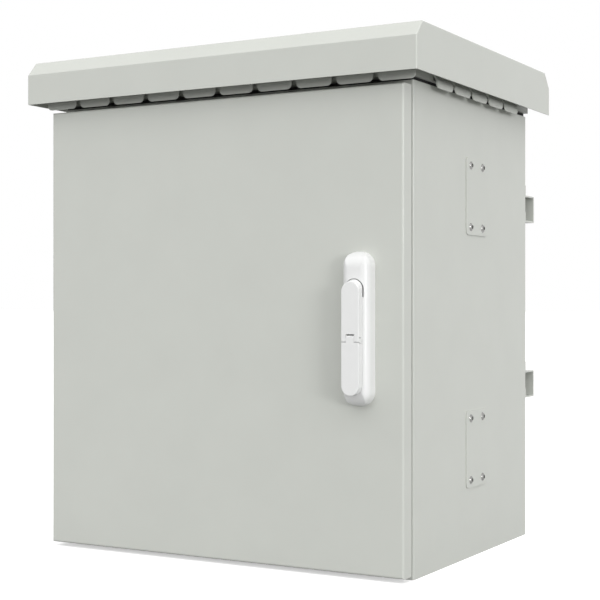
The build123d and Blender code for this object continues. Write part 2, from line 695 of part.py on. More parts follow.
def hinge_bracket(middle):
    """Door half of a hinge: plate on the door's skin and two ears on the pin."""
    half_h = HINGE_PLATE_H / 2
    plate_x = (HINGE_X - HINGE_PLATE_OUT, HINGE_X + HINGE_PLATE_IN)
    bracket = block(plate_x, (SKIN_BACK, SKIN_BACK + HINGE_PLATE_T), (middle - half_h, middle + half_h))
    for side in (-1, 1):
        near = middle + side * (HINGE_BARREL_H / 2 + HINGE_GAP)
        ear_z = (near, near + side * HINGE_EAR_T)
        bracket += block((HINGE_X - HINGE_EAR_OUT, HINGE_X + HINGE_EAR_IN), (SKIN_BACK, HINGE_Y), ear_z)
        bracket += rod_z(HINGE_X, HINGE_Y, ear_z, HINGE_BARREL_R)
    bore = (middle - half_h, middle + half_h)
    bracket -= rod_z(HINGE_X, HINGE_Y, bore, HINGE_PIN_R + HINGE_PLAY)
    for z in hinge_stud_zs(middle):
        span = (SKIN_BACK - CUT_OVER, SKIN_BACK + HINGE_PLATE_T + CUT_OVER)
        bracket -= rod_y(HINGE_X + HINGE_STUD_IN, span, z, HINGE_STUD_R + HOLE_PLAY)
    return bracket


def hinge_pin(middle):
    """Pin pressed into the barrel of the body half."""
    reach = HINGE_BARREL_H / 2 + HINGE_GAP + HINGE_EAR_T
    return rod_z(HINGE_X, HINGE_Y, (middle - reach, middle + reach), HINGE_PIN_R)


def hinge_arm_screws():
    """Screws of the hinge arms in the front flange."""
    screws = []
    x = HINGE_X + HINGE_SCREW_IN
    head_y = FRONT - HINGE_LEAF_T
    for middle in HINGE_Z:
        for z in hinge_screw_zs(middle):
            head = rod_y(x, (head_y - HINGE_SCREW_HEAD_H, head_y), z, HINGE_SCREW_HEAD_R)
            screws.append(head + rod_y(x, (head_y, FRONT + SHEET + HINGE_LEAF_T), z, HINGE_SCREW_R))
    return screws


def hinge_bracket_nuts():
    """Weld studs of the door with their nuts, over the hinge brackets."""
    nuts = []
    x = HINGE_X + HINGE_STUD_IN
    seat = SKIN_BACK + HINGE_PLATE_T
    for middle in HINGE_Z:
        for z in hinge_stud_zs(middle):
            stud = rod_y(x, (SKIN_BACK, seat + HINGE_NUT_H + SHEET), z, HINGE_STUD_R)
            nuts.append(stud + hex_y(x, (seat, seat + HINGE_NUT_H), z, HINGE_NUT_R))
    return nuts


# Swing handle
def handle_base():
    """Handle base with a round pocket for the lever's head, a lock bore and a boss through the door."""
    base = outward(upright_slot(HANDLE_BASE_W, HANDLE_BASE_BOTTOM, HANDLE_BASE_TOP), 0, HANDLE_BASE_RISE)
    base = fillet(base.faces().sort_by(Axis.Y)[0].edges(), HANDLE_BASE_ROUND)
    side_view = RectangleRounded(2 * HANDLE_BASE_RISE, HANDLE_BASE_TOP - HANDLE_BASE_BOTTOM, HANDLE_END_ROUND)
    middle = Pos(HANDLE_X, DOOR_FACE, (HANDLE_BASE_BOTTOM + HANDLE_BASE_TOP) / 2)
    base = base & middle * extrude(Plane.YZ * side_view, HANDLE_BASE_W, both=True)
    base += rod_y(HANDLE_X, (DOOR_FACE, BOSS_END), PIVOT_Z, BOSS_R)
    pocket_y = (proud(POCKET_FLOOR), proud(HANDLE_BASE_RISE + CUT_OVER))
    base -= rod_y(HANDLE_X, pocket_y, PIVOT_Z, POCKET_R)
    base -= block((HANDLE_X - POCKET_R, HANDLE_X + POCKET_R), pocket_y, (PIVOT_Z - POCKET_TAIL, PIVOT_Z))
    base -= rod_y(HANDLE_X, (BOSS_END + CUT_OVER, pocket_y[1]), PIVOT_Z, SPINDLE_R + SPINDLE_PLAY)
    base -= rod_y(HANDLE_X, (proud(LOCK_BACK), pocket_y[1]), LOCK_Z, LOCK_R)
    for z in CLAMP_SCREW_ZS:
        base -= rod_y(HANDLE_X, (DOOR_FACE + CUT_OVER, proud(CLAMP_SCREW_GRIP)), z, CLAMP_SCREW_R)
    return base


def handle_clamp():
    """Clamp plate that holds the handle from inside the door."""
    middle = Pos(HANDLE_X, (CLAMP_BOTTOM + CLAMP_TOP) / 2)
    outline = middle * RectangleRounded(CLAMP_W, CLAMP_TOP - CLAMP_BOTTOM, BEND_R)
    plate = Pos(0, SKIN_BACK + CLAMP_T, 0) * extrude(Plane.XZ * outline, CLAMP_T)
    cut_y = (SKIN_BACK - CUT_OVER, SKIN_BACK + CLAMP_T + CUT_OVER)
    plate -= rod_y(HANDLE_X, cut_y, PIVOT_Z, BOSS_R + HOLE_PLAY)
    for z in CLAMP_SCREW_ZS:
        plate -= rod_y(HANDLE_X, cut_y, z, CLAMP_SCREW_R + HOLE_PLAY)
    return plate


def handle_clamp_screws():
    """Screws through the clamp plate and the door into the handle base."""
    seat = SKIN_BACK + CLAMP_T
    screws = []
    for z in CLAMP_SCREW_ZS:
        head = rod_y(HANDLE_X, (seat, seat + CLAMP_SCREW_HEAD_H), z, CLAMP_SCREW_HEAD_R)
        screws.append(head + rod_y(HANDLE_X, (proud(CLAMP_SCREW_GRIP), seat), z, CLAMP_SCREW_R))
    return screws


def spindle():
    """Spindle through the door, with a tongue for the lever and a square end for the cam."""
    shaft = rod_y(HANDLE_X, (proud(POCKET_FLOOR), BOSS_END + SPINDLE_COLLAR_L), PIVOT_Z, SPINDLE_R)
    collar_start = BOSS_END + SPINDLE_END_PLAY
    shaft += rod_y(HANDLE_X, (collar_start, collar_start + SPINDLE_COLLAR_L), PIVOT_Z, SPINDLE_COLLAR_R)
    half = SPINDLE_SQUARE / 2
    square_z = (PIVOT_Z - half, PIVOT_Z + half)
    shaft += block((HANDLE_X - half, HANDLE_X + half), (BOSS_END, CAM_BACK), square_z)
    tongue_x = (HANDLE_X - TONGUE_W / 2, HANDLE_X + TONGUE_W / 2)
    tongue_z = (PIVOT_Z - TONGUE_R, PIVOT_Z + TONGUE_R)
    shaft += block(tongue_x, (proud(LIFT_PROUD), proud(POCKET_FLOOR)), tongue_z)
    shaft += rod_x(tongue_x, proud(LIFT_PROUD), PIVOT_Z, TONGUE_R)
    shaft -= rod_x(tongue_x, proud(LIFT_PROUD), PIVOT_Z, LIFT_PIN_R)
    shaft -= rod_y(HANDLE_X, (CAM_BACK - CAM_SCREW_L, CAM_BACK + CUT_OVER), PIVOT_Z, CAM_SCREW_R)
    return shaft


def lift_pin():
    """Cross pin that the lever lifts on."""
    left = HANDLE_X - LIFT_PIN_L / 2
    return rod_x((left, left + LIFT_PIN_L), proud(LIFT_PROUD), PIVOT_Z, LIFT_PIN_R)


def latch_cam():
    """Flat cam on the spindle's square end."""
    outline = Pos(HANDLE_X, PIVOT_Z) * Circle(CAM_TAIL)
    arm = Rectangle(CAM_REACH, CAM_W, align=(Align.MIN, Align.CENTER))
    outline += Pos(HANDLE_X, PIVOT_Z) * arm
    outline -= Pos(HANDLE_X, PIVOT_Z) * Rectangle(SPINDLE_SQUARE, SPINDLE_SQUARE)
    cam = Pos(0, CAM_BACK, 0) * extrude(Plane.XZ * outline, CAM_T)
    tip = cam.edges().filter_by(Axis.Y).sort_by(Axis.X)[-2:]
    return fillet(tip, BEND_R)


def cam_screw():
    """Screw with a wide head that keeps the cam on the spindle."""
    head = rod_y(HANDLE_X, (CAM_BACK, CAM_BACK + CAM_SCREW_HEAD_H), PIVOT_Z, CAM_SCREW_HEAD_R)
    return head + rod_y(HANDLE_X, (CAM_BACK - CAM_SCREW_L, CAM_BACK), PIVOT_Z, CAM_SCREW_R)


def lever_blank():
    """Whole outer form of the lever, before it is split at the flap's seam."""
    blank = outward(upright_slot(LEVER_W, LEVER_BOTTOM, LEVER_TOP), LEVER_BACK, LEVER_FACE)
    longer = Plane.XZ * upright_slot(LEVER_W, LEVER_BOTTOM - LEVER_W, LEVER_TOP)
    reach = (LEVER_T ** 2 + LEVER_HEAD_SLOPE ** 2) ** 0.5
    sloped = Pos(0, proud(LEVER_BACK), 0) * extrude(longer, reach, dir=(0, -LEVER_T, -LEVER_HEAD_SLOPE))
    blank = blank & sloped
    return fillet(blank.faces().sort_by(Axis.Y)[0].edges(), LEVER_EDGE_R)


def below_seam(seam_radius):
    """Space below the flap's pin and outside a cylinder about that pin."""
    wide = (HANDLE_X - LEVER_W, HANDLE_X + LEVER_W)
    space = block(wide, (proud(0), proud(2 * LEVER_FACE)), (LEVER_BOTTOM - CUT_OVER, FLAP_PIN_Z))
    return space - rod_x(wide, proud(FLAP_PIN_PROUD), FLAP_PIN_Z, seam_radius)


def lever():
    """Lever with its head slot, the core under the flap, the lock window and the flap's slot."""
    core_w = LEVER_W - 2 * (FLAP_WALL + FLAP_SIDE_GAP)
    core_bottom = LEVER_BOTTOM + FLAP_WALL + FLAP_SIDE_GAP
    part = lever_blank() - below_seam(FLAP_SEAM_R - FLAP_SEAM_GAP)
    core = outward(upright_slot(core_w, core_bottom, FLAP_PIN_Z + core_w), LEVER_BACK, LEVER_BACK + CORE_T)
    core_top = (FLAP_PIN_Z, FLAP_PIN_Z + 2 * core_w)
    wide = (HANDLE_X - LEVER_W, HANDLE_X + LEVER_W)
    part += core - block(wide, (proud(0), proud(LEVER_FACE)), core_top)
    slot_half = FLAP_TAB_W / 2 + FLAP_SLOT_PLAY
    slot_y = (proud(FLAP_PIN_PROUD - FLAP_SLOT_BACK), proud(LEVER_FACE + CUT_OVER))
    slot_z = (FLAP_PIN_Z - FLAP_SEAM_R - CUT_OVER, FLAP_PIN_Z + FLAP_SLOT_UP)
    part -= block((HANDLE_X - slot_half, HANDLE_X + slot_half), slot_y, slot_z)
    part -= rod_x(wide, proud(FLAP_PIN_PROUD), FLAP_PIN_Z, FLAP_PIN_R)
    part -= rod_y(HANDLE_X, (proud(LEVER_BACK - CUT_OVER), proud(LEVER_FACE)), LOCK_Z, LOCK_WINDOW_R)
    tongue_half = TONGUE_W / 2 + TONGUE_PLAY
    head_y = (proud(LEVER_BACK - CUT_OVER), proud(LEVER_FACE - LEVER_FRONT_WALL))
    head_z = (PIVOT_Z - LIFT_ROOM_DOWN, PIVOT_Z + LIFT_ROOM_UP)
    part -= block((HANDLE_X - tongue_half, HANDLE_X + tongue_half), head_y, head_z)
    pin_span = (HANDLE_X - LEVER_W, HANDLE_X + LIFT_PIN_L / 2 + HOLE_PLAY)
    part -= rod_x(pin_span, proud(LIFT_PROUD), PIVOT_Z, LIFT_PIN_R + SPINDLE_PLAY)
    return part


def flap_pin():
    """Pin of the dust flap, flush with the lever's sides."""
    span = (HANDLE_X - LEVER_W / 2, HANDLE_X + LEVER_W / 2)
    return rod_x(span, proud(FLAP_PIN_PROUD), FLAP_PIN_Z, FLAP_PIN_R)


def dust_flap():
    """Hollow flap over the lock, with the tab that turns on its pin."""
    flap = lever_blank() & below_seam(FLAP_SEAM_R)
    wide = (HANDLE_X - LEVER_W, HANDLE_X + LEVER_W)
    tall = (LEVER_BOTTOM - CUT_OVER, LEVER_TOP)
    flap -= block(wide, (proud(LEVER_BACK - CUT_OVER), proud(LEVER_BACK + FLAP_BACK_GAP)), tall)
    room = upright_slot(LEVER_W - 2 * FLAP_WALL, LEVER_BOTTOM + FLAP_WALL, LEVER_TOP)
    flap -= outward(room, LEVER_BACK - CUT_OVER, LEVER_FACE - FLAP_FRONT_WALL)
    tab_x = (HANDLE_X - FLAP_TAB_W / 2, HANDLE_X + FLAP_TAB_W / 2)
    tab_y = (proud(FLAP_PIN_PROUD - FLAP_TAB_BACK), proud(LEVER_FACE))
    tab = block(tab_x, tab_y, (FLAP_PIN_Z - FLAP_TAB_DOWN, FLAP_PIN_Z + FLAP_TAB_UP))
    tab = fillet(tab.edges().filter_by(Axis.X).group_by(Axis.Z)[-1], FLAP_TAB_ROUND)
    flap += tab
    return flap - rod_x(wide, proud(FLAP_PIN_PROUD), FLAP_PIN_Z, FLAP_PIN_R + SPINDLE_PLAY)


def lock_cylinder():
    """Lock body in the handle base."""
    body = rod_y(HANDLE_X, (proud(LOCK_BACK), proud(HANDLE_BASE_RISE)), LOCK_Z, LOCK_R)
    room = (proud(LOCK_BACK + LOCK_END_WALL), proud(HANDLE_BASE_RISE + CUT_OVER))
    return body - rod_y(HANDLE_X, room, LOCK_Z, LOCK_PLUG_R + LOCK_PLUG_PLAY)


def lock_plug():
    """Turning plug with its key slot."""
    start = proud(LOCK_BACK + LOCK_END_WALL + LOCK_PLUG_END_PLAY)
    plug = rod_y(HANDLE_X, (start, proud(HANDLE_BASE_RISE)), LOCK_Z, LOCK_PLUG_R)
    key_y = (proud(HANDLE_BASE_RISE - KEY_DEPTH), proud(HANDLE_BASE_RISE + CUT_OVER))
    key_z = (LOCK_Z - KEY_H / 2, LOCK_Z + KEY_H / 2)
    return plug - block((HANDLE_X - KEY_W / 2, HANDLE_X + KEY_W / 2), key_y, key_z)


# Side plates and rack
def side_plate(side, middle):
    """Thin plate with round corners under the side screws."""
    y_mid = FRONT + PLATE_FRONT + PLATE_D / 2
    outline = Pos(y_mid, middle) * RectangleRounded(PLATE_D, PLATE_H, PLATE_CORNER_R)
    plate = extrude(Plane.YZ * outline, PLATE_T)
    start = BODY_W / 2 if side > 0 else -BODY_W / 2 - PLATE_T
    plate = Pos(start, 0, 0) * plate
    for other, y, z in side_screw_places():
        if other == side and abs(z - middle) < PLATE_H / 2:
            span = (start - CUT_OVER, start + PLATE_T + CUT_OVER)
            plate -= rod_x(span, y, z, SIDE_SCREW_R + HOLE_PLAY)
    return plate


def side_plate_screws():
    """Domed screws through side plate, wall and bracket."""
    seat = BODY_W / 2 + PLATE_T
    tip = INNER_X - BRACKET_T - NUT_H - SHEET
    ball_r = (SIDE_SCREW_HEAD_R ** 2 + SIDE_SCREW_HEAD_H ** 2) / (2 * SIDE_SCREW_HEAD_H)
    screws = []
    for side, y, z in side_screw_places():
        ball = Pos(side * (seat + SIDE_SCREW_HEAD_H - ball_r), y, z) * Rot(0, 90, 0) * Sphere(ball_r)
        outside = (side * seat, side * (seat + ball_r))
        head = ball & block(outside, (y - ball_r, y + ball_r), (z - ball_r, z + ball_r))
        screws.append(head + rod_x((side * tip, side * seat), y, z, SIDE_SCREW_R))
    return screws


def side_plate_nuts():
    """Nuts of the side screws, on the brackets inside."""
    seat = INNER_X - BRACKET_T
    nuts = []
    for side, y, z in side_screw_places():
        span = (side * (seat - NUT_H), side * seat)
        hole = rod_x((side * (seat - NUT_H - CUT_OVER), side * (seat + CUT_OVER)), y, z, SIDE_SCREW_R)
        nuts.append(hex_x(span, y, z, NUT_R) - hole)
    return nuts


def rail_bracket(side, middle):
    """Angle bracket between side wall and rack rail."""
    z_span = (middle - PLATE_H / 2, middle + PLATE_H / 2)
    bracket = block((side * (INNER_X - BRACKET_T), side * INNER_X), (BRACKET_Y, BRACKET_REAR), z_span)
    foot_x = (side * (INNER_X - BRACKET_REACH), side * INNER_X)
    bracket += block(foot_x, (BRACKET_Y, BRACKET_Y + BRACKET_T), z_span)
    for other, y, z in side_screw_places():
        if other == side and abs(z - middle) < PLATE_H / 2:
            span = (side * (INNER_X - BRACKET_T - CUT_OVER), side * (INNER_X + CUT_OVER))
            bracket -= rod_x(span, y, z, SIDE_SCREW_R + HOLE_PLAY)
    for x, z in rack_bolt_places():
        if x * side > 0 and abs(z - middle) < PLATE_H / 2:
            span = (BRACKET_Y - CUT_OVER, BRACKET_Y + BRACKET_T + CUT_OVER)
            bracket -= rod_y(x, span, z, RACK_BOLT_R + HOLE_PLAY)
    return bracket


def rack_rail(side):
    """Upright rack rail with square holes at the standard spacing."""
    low = RACK_MID_Z - RACK_H / 2
    z_span = (low - RACK_RAIL_MARGIN, low + RACK_H + RACK_RAIL_MARGIN)
    face_y = (BRACKET_Y - RACK_RAIL_T, BRACKET_Y)
    inner = RACK_RAIL_INNER_X
    rail = block((side * inner, side * (inner + RACK_RAIL_W)), face_y, z_span)
    return_y = (BRACKET_Y - RACK_RAIL_T, BRACKET_Y + RACK_RAIL_RETURN)
    rail += block((side * inner, side * (inner + RACK_RAIL_T)), return_y, z_span)
    cut_y = (face_y[0] - CUT_OVER, face_y[1] + CUT_OVER)
    half = RACK_HOLE / 2
    hole_x = (side * (RACK_HOLE_X - half), side * (RACK_HOLE_X + half))
    holes = []
    for unit in range(RACK_UNITS):
        for offset in RACK_HOLE_OFFSETS:
            z = low + unit * RACK_UNIT + offset
            holes.append(block(hole_x, cut_y, (z - half, z + half)))
    rail -= holes
    for x, z in rack_bolt_places():
        if x * side > 0:
            rail -= rod_y(x, cut_y, z, RACK_BOLT_R + HOLE_PLAY)
    return rail


def rack_rail_bolts():
    """Bolts and nuts between rack rails and brackets."""
    head_seat = BRACKET_Y - RACK_RAIL_T
    nut_seat = BRACKET_Y + BRACKET_T
    bolts = []
    for x, z in rack_bolt_places():
        bolt = rod_y(x, (head_seat - RACK_BOLT_HEAD_H, head_seat), z, RACK_BOLT_HEAD_R)
        bolt += rod_y(x, (head_seat, nut_seat + NUT_H + SHEET), z, RACK_BOLT_R)
        bolts.append(bolt + hex_y(x, (nut_seat, nut_seat + NUT_H), z, NUT_R))
    return bolts


# Rear rails
def mount_rail(low):
    """Folded rail across the rear wall, with holes for the pole clamps in its web."""
    half = BODY_W / 2 - RAIL_END_IN
    x_span = (-half, half)
    high = low + RAIL_BOX_H
    back = REAR + RAIL_STANDOFF
    rail = block(x_span, (REAR, REAR + RAIL_T), (high - RAIL_T, high + RAIL_FLANGE_H))
    rail += block(x_span, (REAR, back), (high - RAIL_T, high))
    rail += block(x_span, (back - RAIL_T, back), (low, high))
    rail += block(x_span, (REAR, back), (low, low + RAIL_T))
    rail += block(x_span, (REAR, REAR + RAIL_T), (low, low + RAIL_FLANGE_H))
    for x in row(2, RAIL_MOUNT_PITCH_X):
        rail -= rod_y(x, (back - RAIL_T - CUT_OVER, back + CUT_OVER), low + RAIL_BOX_H / 2, RAIL_MOUNT_R)
    for x, z in rail_bolt_places():
        if high < z < high + RAIL_FLANGE_H:
            rail -= rod_y(x, (REAR - CUT_OVER, REAR + RAIL_T + CUT_OVER), z, RAIL_BOLT_R + HOLE_PLAY)
    return rail


def mount_rail_bolts():
    """Bolts of the rear rails, heads outside."""
    seat = REAR + RAIL_T
    bolts = []
    for x, z in rail_bolt_places():
        bolt = hex_y(x, (seat, seat + RAIL_BOLT_HEAD_H), z, RAIL_BOLT_HEAD_R)
        bolts.append(bolt + rod_y(x, (seat - RAIL_BOLT_L, seat), z, RAIL_BOLT_R))
    return bolts


def mount_rail_nuts():
    """Nuts of the rear rails' bolts, inside the rear wall."""
    seat = REAR - SHEET
    nuts = []
    for x, z in rail_bolt_places():
        hole = rod_y(x, (seat - NUT_H - CUT_OVER, seat + CUT_OVER), z, RAIL_BOLT_R)
        nuts.append(hex_y(x, (seat - NUT_H, seat), z, NUT_R) - hole)
    return nuts


# Every node by name
pieces = {
    "body_wrap": body_wrap(),
    "top_panel": top_panel(),
    "floor_panel": floor_panel(),
    "gland_plate": gland_plate(),
    "gland_plate_screws": gland_plate_screws(),
    "earth_stud": earth_stud(),
    "earth_nuts": earth_nuts(),
    "collar_seal": collar_seal(),
    "vent_collar": vent_collar(),
    "roof_hood": roof_hood(),
    "hood_studs": hood_studs(),
    "hood_nuts": hood_nuts(),
    "door_panel": door_panel(),
    "door_gasket": door_gasket(),
    "hinge_arm_screws": hinge_arm_screws(),
    "hinge_bracket_nuts": hinge_bracket_nuts(),
    "handle_base": handle_base(),
    "handle_clamp": handle_clamp(),
    "handle_clamp_screws": handle_clamp_screws(),
    "spindle": spindle(),
    "lift_pin": lift_pin(),
    "latch_cam": latch_cam(),
    "cam_screw": cam_screw(),
    "lever": lever(),
    "flap_pin": flap_pin(),
    "dust_flap": dust_flap(),
    "lock_cylinder": lock_cylinder(),
    "lock_plug": lock_plug(),
    "side_plate_screws": side_plate_screws(),
    "side_plate_nuts": side_plate_nuts(),
    "rack_rail_bolts": rack_rail_bolts(),
    "mount_rail_bolts": mount_rail_bolts(),
    "mount_rail_nuts": mount_rail_nuts(),
}
for level, hinge_z, plate_z, rail_z in zip(("lower", "upper"), HINGE_Z, PLATE_Z, RAIL_Z):
    pieces[level + "_hinge_arm"] = hinge_arm(hinge_z)
    pieces[level + "_hinge_bracket"] = hinge_bracket(hinge_z)
    pieces[level + "_hinge_pin"] = hinge_pin(hinge_z)
    pieces[level + "_mount_rail"] = mount_rail(rail_z)
    for hand, side in (("left", -1), ("right", 1)):
        pieces[f"{hand}_{level}_side_plate"] = side_plate(side, plate_z)
        pieces[f"{hand}_{level}_rail_bracket"] = rail_bracket(side, plate_z)
for hand, side in (("left", -1), ("right", 1)):
    pieces[hand + "_rack_rail"] = rack_rail(side)

os.makedirs("parts", exist_ok=True)
for name, piece in pieces.items():
    solids = piece if isinstance(piece, list) else [piece]
    export_step(Compound(children=[solid for item in solids for solid in item.solids()]), f"parts/{name}.step")
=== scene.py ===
"""Looks of the pole-mounted rack cabinet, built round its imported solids, in metres and in their frame."""
import logging
import math
from dataclasses import dataclass, field
from enum import Enum
from typing import Union

import bpy
from mathutils import Matrix, Vector


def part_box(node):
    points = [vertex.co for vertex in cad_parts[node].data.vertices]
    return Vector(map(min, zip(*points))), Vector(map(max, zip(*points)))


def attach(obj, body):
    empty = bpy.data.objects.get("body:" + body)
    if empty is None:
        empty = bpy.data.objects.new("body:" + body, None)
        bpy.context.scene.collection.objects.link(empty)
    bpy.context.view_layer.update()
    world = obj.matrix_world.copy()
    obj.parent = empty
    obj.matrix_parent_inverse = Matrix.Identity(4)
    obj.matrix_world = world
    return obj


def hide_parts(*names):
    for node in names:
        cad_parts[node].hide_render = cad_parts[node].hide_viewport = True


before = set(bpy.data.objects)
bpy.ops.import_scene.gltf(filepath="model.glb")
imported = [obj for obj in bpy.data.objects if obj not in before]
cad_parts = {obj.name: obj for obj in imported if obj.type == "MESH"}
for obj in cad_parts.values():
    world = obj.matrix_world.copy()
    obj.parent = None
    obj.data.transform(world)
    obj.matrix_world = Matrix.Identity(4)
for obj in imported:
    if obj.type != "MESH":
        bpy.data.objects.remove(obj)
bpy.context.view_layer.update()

LOG = logging.getLogger("cabinet")
MM = 0.001
WELD_DIGITS = 6
SHARP_ANGLE = math.radians(32)
QUARTER_TURN = math.pi / 2
METAL = 1.0
NO_GLOSS = 0.0

Colour = tuple[float, float, float, float]
Span = tuple[float, float]
Point = tuple[float, ...]
Feed = Union[float, Colour, bpy.types.NodeSocket]
Sockets = bpy.types.bpy_prop_collection
SolidBox = tuple[Vector, Vector]

WHITE: Colour = (1.0, 1.0, 1.0, 1.0)
FULL: Span = (0.0, 1.0)


class Slot(Enum):
    """Material slots of the record."""

    CABINET_PAINT = "cabinet_paint"
    ZINC_PLATE = "zinc_plate"
    SCREW_STEEL = "screw_steel"
    HANDLE_PLASTIC = "handle_plastic"
    BLACK_RUBBER = "black_rubber"
    LOCK_METAL = "lock_metal"


class Body(Enum):
    """Bodies that carry pieces made here."""

    CABINET = "cabinet"
    DOOR = "door"
    SPINDLE = "spindle"


class Facing(Enum):
    """Way that a fastener's head or thread end points."""

    OUTWARD = (1.0, 0.0, 0.0)
    INWARD = (-1.0, 0.0, 0.0)
    FRONT = (0.0, -1.0, 0.0)
    REAR = (0.0, 1.0, 0.0)
    UP = (0.0, 0.0, 1.0)
    DOWN = (0.0, 0.0, -1.0)

    def direction(self, centre: Vector) -> Vector:
        """Unit vector at a centre; OUTWARD and INWARD follow its side of the cabinet."""
        axis = Vector(self.value)
        return axis * math.copysign(1.0, centre.x) if axis.x else axis


class Kind(Enum):
    """Kinds of fastener."""

    BUTTON_SCREW = "button_screw"
    HEX_BOLT = "hex_bolt"
    NUT = "nut"
    STUD = "stud"
    STUD_AND_NUT = "stud_and_nut"
    BOLT_AND_NUT = "bolt_and_nut"


class Thread(Enum):
    """Metric threads, each as its outside radius and its pitch."""

    M4 = (2.0 * MM, 0.7 * MM)
    M5 = (2.5 * MM, 0.8 * MM)
    M6 = (3.0 * MM, 1.0 * MM)
    M8 = (4.0 * MM, 1.25 * MM)


class Effect(Enum):
    """Shader node groups that several finishes share."""

    FINE_TEXTURE = "fine_texture"
    TINT_DRIFT = "tint_drift"
    SETTLED_DUST = "settled_dust"
    SOFT_EDGE = "soft_edge"


@dataclass
class Graph:
    """Adds and joins nodes in one node tree."""

    tree: bpy.types.NodeTree
    mix_first: int = 6
    mix_second: int = 7
    mix_result: int = 2

    def node(self, kind: str, **values: object) -> bpy.types.Node:
        """Add a node.

        Args:
            kind: the node's type.
            values: properties of the node, by name.

        Returns:
            The new node.
        """
        made = self.tree.nodes.new(kind)
        for name, value in values.items():
            setattr(made, name, value)
        return made

    def feed(self, socket: bpy.types.NodeSocket, value: Feed) -> None:
        """Link an output to an input, or set the input's own value.

        Args:
            socket: the input.
            value: an output, or a plain value.
        """
        if isinstance(value, bpy.types.NodeSocket):
            self.tree.links.new(value, socket)
        else:
            socket.default_value = value

    def math(self, operation: str, *values: Feed) -> bpy.types.NodeSocket:
        """Add a math node.

        Args:
            operation: name of the operation.
            values: its inputs in order.

        Returns:
            The result's socket.
        """
        made = self.node("ShaderNodeMath", operation=operation)
        for socket, value in zip(made.inputs, values):
            self.feed(socket, value)
        return made.outputs[0]

    def ramp(self, value: Feed, source: Span, target: Span = FULL) -> bpy.types.NodeSocket:
        """Map a value from one span to another, clamped.

        Args:
            value: what is mapped.
            source: the span that it comes from.
            target: the span that it goes to.

        Returns:
            The result's socket.
        """
        made = self.node("ShaderNodeMapRange")
        for name, number in zip(("From Min", "From Max", "To Min", "To Max"), source + target):
            made.inputs[name].default_value = number
        self.feed(made.inputs["Value"], value)
        return made.outputs["Result"]

    def mix(self, share: Feed, first: Feed, second: Feed) -> bpy.types.NodeSocket:
        """Mix two colours.

        Args:
            share: how much of the second.
            first: colour at a share of 0.
            second: colour at a share of 1.

        Returns:
            The mixed colour's socket.
        """
        made = self.node("ShaderNodeMix", data_type="RGBA")
        self.feed(made.inputs["Factor"], share)
        self.feed(made.inputs[self.mix_first], first)
        self.feed(made.inputs[self.mix_second], second)
        return made.outputs[self.mix_result]

    def noise(self, place: Feed, scale: Feed, detail: float) -> bpy.types.NodeSocket:
        """Add a noise texture.

        Args:
            place: coordinates.
            scale: cells in a metre.
            detail: octaves of finer noise.

        Returns:
            The noise's value, about 0.5.
        """
        made = self.node("ShaderNodeTexNoise")
        self.feed(made.inputs["Vector"], place)
        self.feed(made.inputs["Scale"], scale)
        made.inputs["Detail"].default_value = detail
        return made.outputs["Fac"]

    def cells(self, place: Feed, size: float) -> bpy.types.Node:
        """Add a texture of cells.

        Args:
            place: coordinates.
            size: size of a cell.

        Returns:
            The texture's node.
        """
        made = self.node("ShaderNodeTexVoronoi")
        self.feed(made.inputs["Vector"], place)
        made.inputs["Scale"].default_value = 1.0 / size
        return made

    def choose(self, share: Feed, first: bpy.types.Node, second: bpy.types.Node) -> bpy.types.NodeSocket:
        """Mix two shaders.

        Args:
            share: how much of the second.
            first: shader at a share of 0.
            second: shader at a share of 1.

        Returns:
            The mixed shader's socket.
        """
        made = self.node("ShaderNodeMixShader")
        for socket, value in zip(made.inputs, (share, first.outputs[0], second.outputs[0])):
            self.feed(socket, value)
        return made.outputs[0]

    def effect(self, effect: Effect, **values: Feed) -> bpy.types.Node:
        """Place a shared node group.

        Args:
            effect: which group.
            values: its inputs, by name.

        Returns:
            The group's node.
        """
        made = self.node("ShaderNodeGroup", node_tree=EffectLibrary.group(effect))
        for name, value in values.items():
            self.feed(made.inputs[name], value)
        return made


